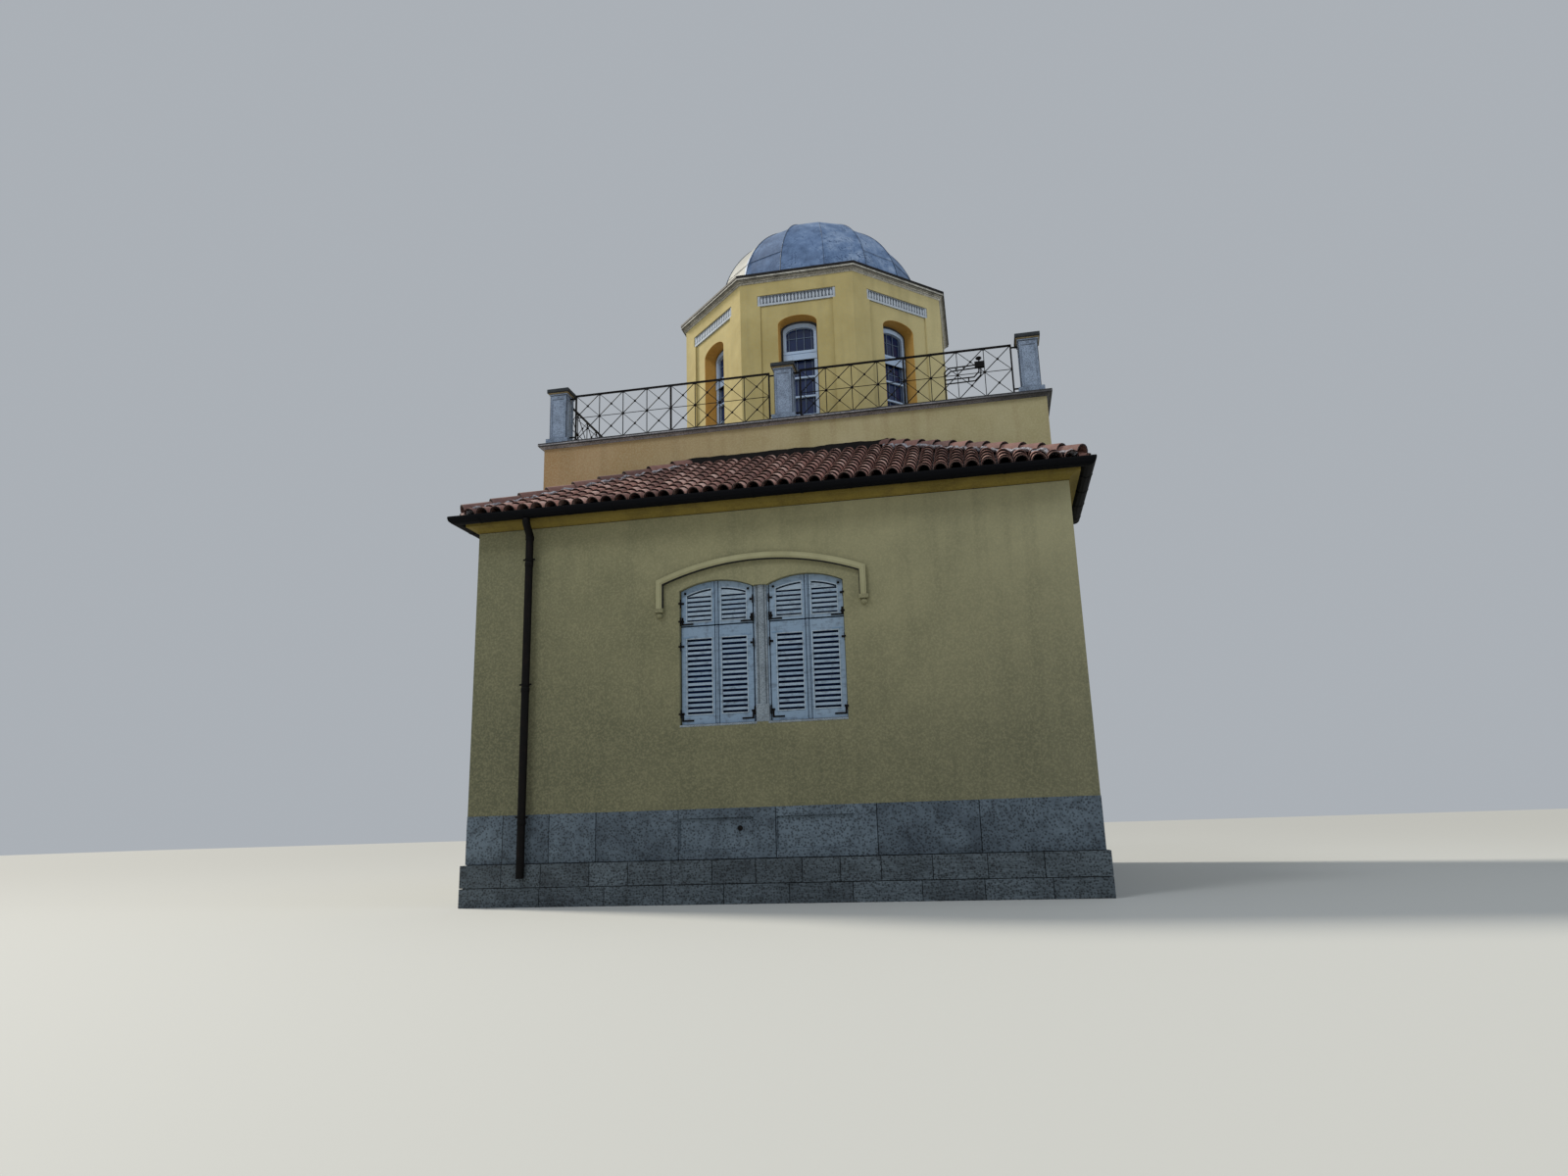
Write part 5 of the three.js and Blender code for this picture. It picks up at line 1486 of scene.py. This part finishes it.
def frieze_shapes():
    ground_plate, relief = Shape(), Shape()
    ground = -DRUM_FACE + FIELD_DEPTH
    ground_plate.box((-BAND_HALF, BAND_HALF), (ground - 0.006, ground + 0.002), BAND, 0.4)
    relief.box((-BAND_HALF, BAND_HALF), (ground - 0.028, ground), (BAND[0], BAND[0] + BORDER_HIGH), 0.9)
    # A darker strip along the band's top: a painted shadow line.
    relief.box((-BAND_HALF, BAND_HALF), (ground - 0.012, ground), (BAND[1] - 0.010, BAND[1]), 0.3)
    for hand in (-1, 1):
        relief.box(between(0, hand, BAND_HALF - END_BORDER, BAND_HALF), (ground - 0.022, ground), BAND, 0.75)
    run = BAND_HALF - END_BORDER
    pitch = 2 * run / MOTIFS
    low, high = BAND[0] + BORDER_HIGH + 0.004, BAND[1] - 0.016
    for i in range(MOTIFS):
        x = -run + (i + 0.5) * pitch
        radius = pitch * 0.42
        spring = high - radius
        y = ground - 0.010
        path = [(x - radius, y, low), (x - radius, y, spring)]
        for k in range(1, 6):
            a = math.pi * (1 - k / 6)
            path.append((x + radius * math.cos(a), y, spring + radius * math.sin(a)))
        path += [(x + radius, y, spring), (x + radius, y, low)]
        relief.tube(path, 0.003, 5, 0.5)
        outline = [(x + side, low + up) for side, up in LEAF_RIGHT] + [(x, high - 0.012)]
        outline += [(x - side, low + up) for side, up in LEAF_RIGHT[:0:-1]]
        relief.prism([(x - LEAF_RIGHT[0][0], low)] + outline, ground - 0.024, ground, 1.0)
    return ground_plate, relief


ground_plate, relief = frieze_shapes()
ground_data = mesh_of("frieze_ground", ground_plate, stucco_ground)
relief_data = mesh_of("frieze_relief", relief, stucco, smooth_angle=50)
for i in range(8):
    piece(f"frieze_ground_{i + 1}", ground_data, turn=i * math.pi / 4)
    piece(f"frieze_relief_{i + 1}", relief_data, turn=i * math.pi / 4)
print("frieze faces", len(relief_data.polygons))

# %% [markdown]
# ## Dome of zinc gores
# The dome is sixteen gores, flat from seam to seam and curved from foot to top. The sheets are
# folded together in standing seams, with one level lap about three quarters of a metre up. A
# real gore is beaten by hand, so each one has its own tone and a few soft dents.

# %% Gore measures and helper
DOME_BASE = 11.185
DOME_RADIUS = 2.175
DOME_SHEET = 0.040
DOME_SKIRT = 0.070
DOME_FLAT = math.cos(math.pi / 16)
GORES = 16
FIRST_SEAM = 13.0
# Gores 12 and 13 carry painted sunlight, and gore 14 the darkest tone as painted shade.
GORE_TONES = {12: SUNLIT_TONE, 13: SUNLIT_TONE, 14: 0.05}
SUNLIT_EDGES = {12: 0, 13: 6}
PLAIN_ZINC = 0.5
LAP_ANGLE = 69.6
SEAM_TONE = 0.3
MERGE = 0.0002
GORE_STEP = 360 / GORES


def dome_point(seam, polar, radius):
    """A point over a seam line: seam in degrees from the front towards the right."""
    a = math.radians(seam) - math.pi / 2
    p = math.radians(polar)
    reach = radius * math.sin(p)
    return Vector((reach * math.cos(a), reach * math.sin(a), DOME_BASE + radius * DOME_FLAT * math.cos(p)))


def gore_grid(seam_from, seam_to, polar_from, polar_to, radius, across_steps, up_steps, dent, seed):
    rows = []
    for k in range(up_steps + 1):
        polar = polar_from + (polar_to - polar_from) * k / up_steps
        a = dome_point(seam_from, polar, radius)
        b = dome_point(seam_to, polar, radius)
        row = []
        for i in range(across_steps + 1):
            t = i / across_steps
            p = a.lerp(b, t)
            edge = min(t, 1 - t) * 4
            push = -dent * min(1, edge) * abs(noise.noise(p * 1.7 + Vector((seed, 0, 0))))
            row.append(p + (p - Vector((0, 0, DOME_BASE))).normalized() * push)
        rows.append(row)
    return rows


def sheet_from_grid(shape, rows, tone):
    shape.add([p for row in rows for p in row], grid_faces(len(rows[0]) - 1, len(rows) - 1), tone)


def skirt_foot(points):
    """The same points, dropped to the foot of the dome's skirt."""
    return [Vector((p.x, p.y, DOME_BASE - DOME_SKIRT)) for p in points]


def zinc_border(shape, rows, column):
    """Leaves one edge of a sunlit gore as plain zinc, so that the painted sunlight ends in a straight line.
    """
    width = len(rows[0])
    start = len(shape.tones) - width * len(rows)
    for k in range(len(rows)):
        shape.tones[start + k * width + column] = PLAIN_ZINC


# %% [markdown]
# The shell is drawn as an outer skin and an inner skin with a closed foot, so the dome is as
# thick as the solid it stands for, and hollow for the telescope. The two gores with painted
# sunlight lie side by side, and it stops short of the seams on either side of the pair. The next
# gore has the darkest tone, as painted shade.

# %% Dome shell
def dome_shell():
    shape = Shape()
    tinsmith = random.Random(31)
    for g in range(GORES):
        seam = FIRST_SEAM + g * GORE_STEP
        tone = GORE_TONES.get(g, tinsmith.uniform(0.25, 0.75))
        low = gore_grid(seam, seam + GORE_STEP, 90, LAP_ANGLE, DOME_RADIUS - 0.004, 6, 10, 0.006, g * 5.0)
        skirt = [skirt_foot(low[0])]
        sheet_from_grid(shape, skirt + low, tone)
        if g in SUNLIT_EDGES:
            zinc_border(shape, skirt + low, SUNLIT_EDGES[g])
        high = gore_grid(seam, seam + GORE_STEP, LAP_ANGLE + 0.6, 0.4, DOME_RADIUS, 6, 26, 0.006, g * 7.0)
        sheet_from_grid(shape, high, GORE_TONES.get(g, tinsmith.uniform(0.25, 0.75)))
        if g in SUNLIT_EDGES:
            zinc_border(shape, high, SUNLIT_EDGES[g])
        inner = gore_grid(seam, seam + GORE_STEP, 90, 0.4, DOME_RADIUS - DOME_SHEET, 2, 16, 0.0, 0.0)
        inner_skirt = [skirt_foot(inner[0])]
        rim = [skirt[0][0], skirt[0][-1], inner_skirt[0][-1], inner_skirt[0][0]]
        sheet_from_grid(shape, [row[::-1] for row in inner_skirt + inner], 0.2)
        shape.add(rim, [(0, 3, 2, 1)], 0.2)
    return shape


def seams(shape, seam, polar_from, polar_to, radius, width):
    """A folded seam up the dome. Near the top it is hammered flat, so it sinks into the sheets."""
    steps = 30
    path = []
    for i in range(steps + 1):
        polar = polar_from + (polar_to - polar_from) * i / steps
        lift = 0.004 - 0.013 * max(0.0, 1 - polar / 12) * 1.34
        path.append(dome_point(seam, polar, radius + lift))
    shape.tube(path, width, 6, SEAM_TONE)


shell_made = make("zinc_dome", dome_shell(), dome_zinc, body="dome", smooth_angle=12, merge=MERGE)
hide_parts("dome_shell")

ribs = Shape()
for g in range(GORES):
    azimuth = FIRST_SEAM + g * GORE_STEP
    seams(ribs, azimuth, 90, 3, DOME_RADIUS, 0.007)
    foot = dome_point(azimuth, 90, DOME_RADIUS + 0.004)
    ribs.tube(skirt_foot([foot]) + [foot], 0.007, 6, SEAM_TONE)
    lap = [dome_point(at, LAP_ANGLE, DOME_RADIUS) for at in (azimuth, azimuth + GORE_STEP)]
    ribs.tube(lap, 0.004, 6, 0.1)
ribs_made = make("zinc_standing_seams", ribs, seam_zinc, body="dome", smooth_angle=50)

# %% [markdown]
# ## Slit cover
# A double gore covers the slit for the telescope. It stands some 35 mm proud of the dome, with
# turned-down edges and its own middle seam, and runs from the foot to just short of the top.

# %% Slit cover
COVER_OUT = 0.035
COVER_END = 12.0


def slit_cover():
    shape = Shape()
    radius = DOME_RADIUS + COVER_OUT - 0.003
    for g, tone in ((-1, 0.35), (0, 0.55)):
        seam = FIRST_SEAM + g * GORE_STEP
        rows = gore_grid(seam, seam + GORE_STEP, 90, COVER_END, radius, 6, 34, 0.005, 60 + g * 9.0)
        sheet_from_grid(shape, [skirt_foot(rows[0])] + rows, tone)
    polars = [90 - (90 - COVER_END) * k / 34 for k in range(35)]
    for seam, flip in ((FIRST_SEAM - GORE_STEP, False), (FIRST_SEAM + GORE_STEP, True)):
        edges = [[dome_point(seam, polar, r) for polar in polars] for r in (radius, DOME_RADIUS + 0.001)]
        outer, inner = (skirt_foot(edge[:1]) + edge for edge in edges)
        rows = [[a, b] if flip else [b, a] for a, b in zip(outer, inner)]
        sheet_from_grid(shape, rows, 0.15)
    for seam in (FIRST_SEAM - GORE_STEP, FIRST_SEAM):
        far = seam + GORE_STEP
        corners = ((seam, radius), (far, radius), (far, DOME_RADIUS), (seam, DOME_RADIUS))
        shape.add([dome_point(at, COVER_END, r) for at, r in corners], [(0, 1, 2, 3)], 0.15)
    return shape


cover_made = make("zinc_slit_cover", slit_cover(), dome_zinc, body="dome", smooth_angle=12, merge=MERGE)
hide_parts("slit_cover")
cover_ribs = Shape()
for azimuth, width in ((FIRST_SEAM - GORE_STEP, 0.009), (FIRST_SEAM, 0.004), (FIRST_SEAM + GORE_STEP, 0.006)):
    seams(cover_ribs, azimuth, 90, COVER_END, DOME_RADIUS + COVER_OUT - 0.006, width)
cover_ribs_made = make("zinc_cover_seams", cover_ribs, seam_zinc, body="dome", smooth_angle=50)

# %% [markdown]
# ## Camera, light and floor
# The camera stands where the photograph was taken: low on the ground, a little right of the
# middle, tipped up. The light is soft: a broad light from the left behind, where the sun was, a
# large pale one in front, a weak one on the right, and a bright surround. The floor is plain.

# %% Camera
CAMERA_PLACE = (2.921, -18.153, 0.935)
CAMERA_RIGHT = Vector((0.979142, 0.201030, -0.029463))
CAMERA_DOWN = Vector((-0.074677, 0.221211, -0.972363))
CAMERA_AHEAD = Vector((-0.188956, 0.954281, 0.231609))
camera = bpy.data.objects.new("camera", bpy.data.cameras.new("camera"))
bpy.context.scene.collection.objects.link(camera)
rotation = Matrix((CAMERA_RIGHT, -CAMERA_DOWN, -CAMERA_AHEAD)).transposed().to_4x4()
camera.matrix_world = Matrix.Translation(CAMERA_PLACE) @ rotation
camera.data.lens = 23.058
camera.data.sensor_width = 36.0
camera.data.clip_end = 500.0
bpy.context.scene.camera = camera

# %% Light
def broad_light(name, place, target, size, power, colour):
    data = bpy.data.lights.new(name, "AREA")
    data.shape = "DISK"
    data.size = size
    data.energy = power
    data.color = colour
    made = bpy.data.objects.new(name, data)
    bpy.context.scene.collection.objects.link(made)
    made.location = place
    made.rotation_euler = (Vector(target) - Vector(place)).to_track_quat("-Z", "Y").to_euler()


sun = bpy.data.lights.new("low_sun", "SUN")
sun.energy = 3.8
sun.angle = math.radians(12)
sun.color = (1.0, 0.93, 0.80)
sun_made = bpy.data.objects.new("low_sun", sun)
bpy.context.scene.collection.objects.link(sun_made)
sun_made.rotation_euler = Vector((0.80, -0.35, -0.62)).to_track_quat("-Z", "Y").to_euler()
broad_light("high_softbox", (-9, -20, 27), (0, -2, 6), 8, 2250, (0.93, 0.96, 1.0))
broad_light("right_softbox", (19, -9, 15), (0, 0, 9), 6, 700, (0.86, 0.93, 1.0))

world = bpy.data.worlds.new("studio")
bpy.context.scene.world = world
world.use_nodes = True
world.node_tree.nodes["Background"].inputs["Color"].default_value = linear("#dfe6ee")
world.node_tree.nodes["Background"].inputs["Strength"].default_value = 0.55
bpy.context.scene.view_settings.view_transform = "Standard"

# %% Floor
floor_material = bpy.data.materials.new("pale_floor")
floor_material.use_nodes = True
floor_surface = floor_material.node_tree.nodes["Principled BSDF"]
floor_surface.inputs["Base Color"].default_value = linear("#b4b5b2")
floor_surface.inputs["Roughness"].default_value = 0.9
floor_shape = Shape()
FLOOR_HALF, FLOOR_DROP = 200.0, -0.002
corners = [(x * FLOOR_HALF, y * FLOOR_HALF, FLOOR_DROP) for x, y in ((-1, -1), (1, -1), (1, 1), (-1, 1))]
floor_shape.add(corners, [(0, 1, 2, 3)])
floor = bpy.data.objects.new("floor", mesh_of("floor", floor_shape, floor_material))
bpy.context.scene.collection.objects.link(floor)
floor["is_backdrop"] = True

# %% [markdown]
# ## The size of the dressed building
# The box round everything that renders, the floor aside, is printed. The dressed
# building must stay in the box of the solids, so both boxes go to a file.

# %% Sizes and finish
low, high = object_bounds()
print("visual box", [round(v, 4) for v in low], [round(v, 4) for v in high])
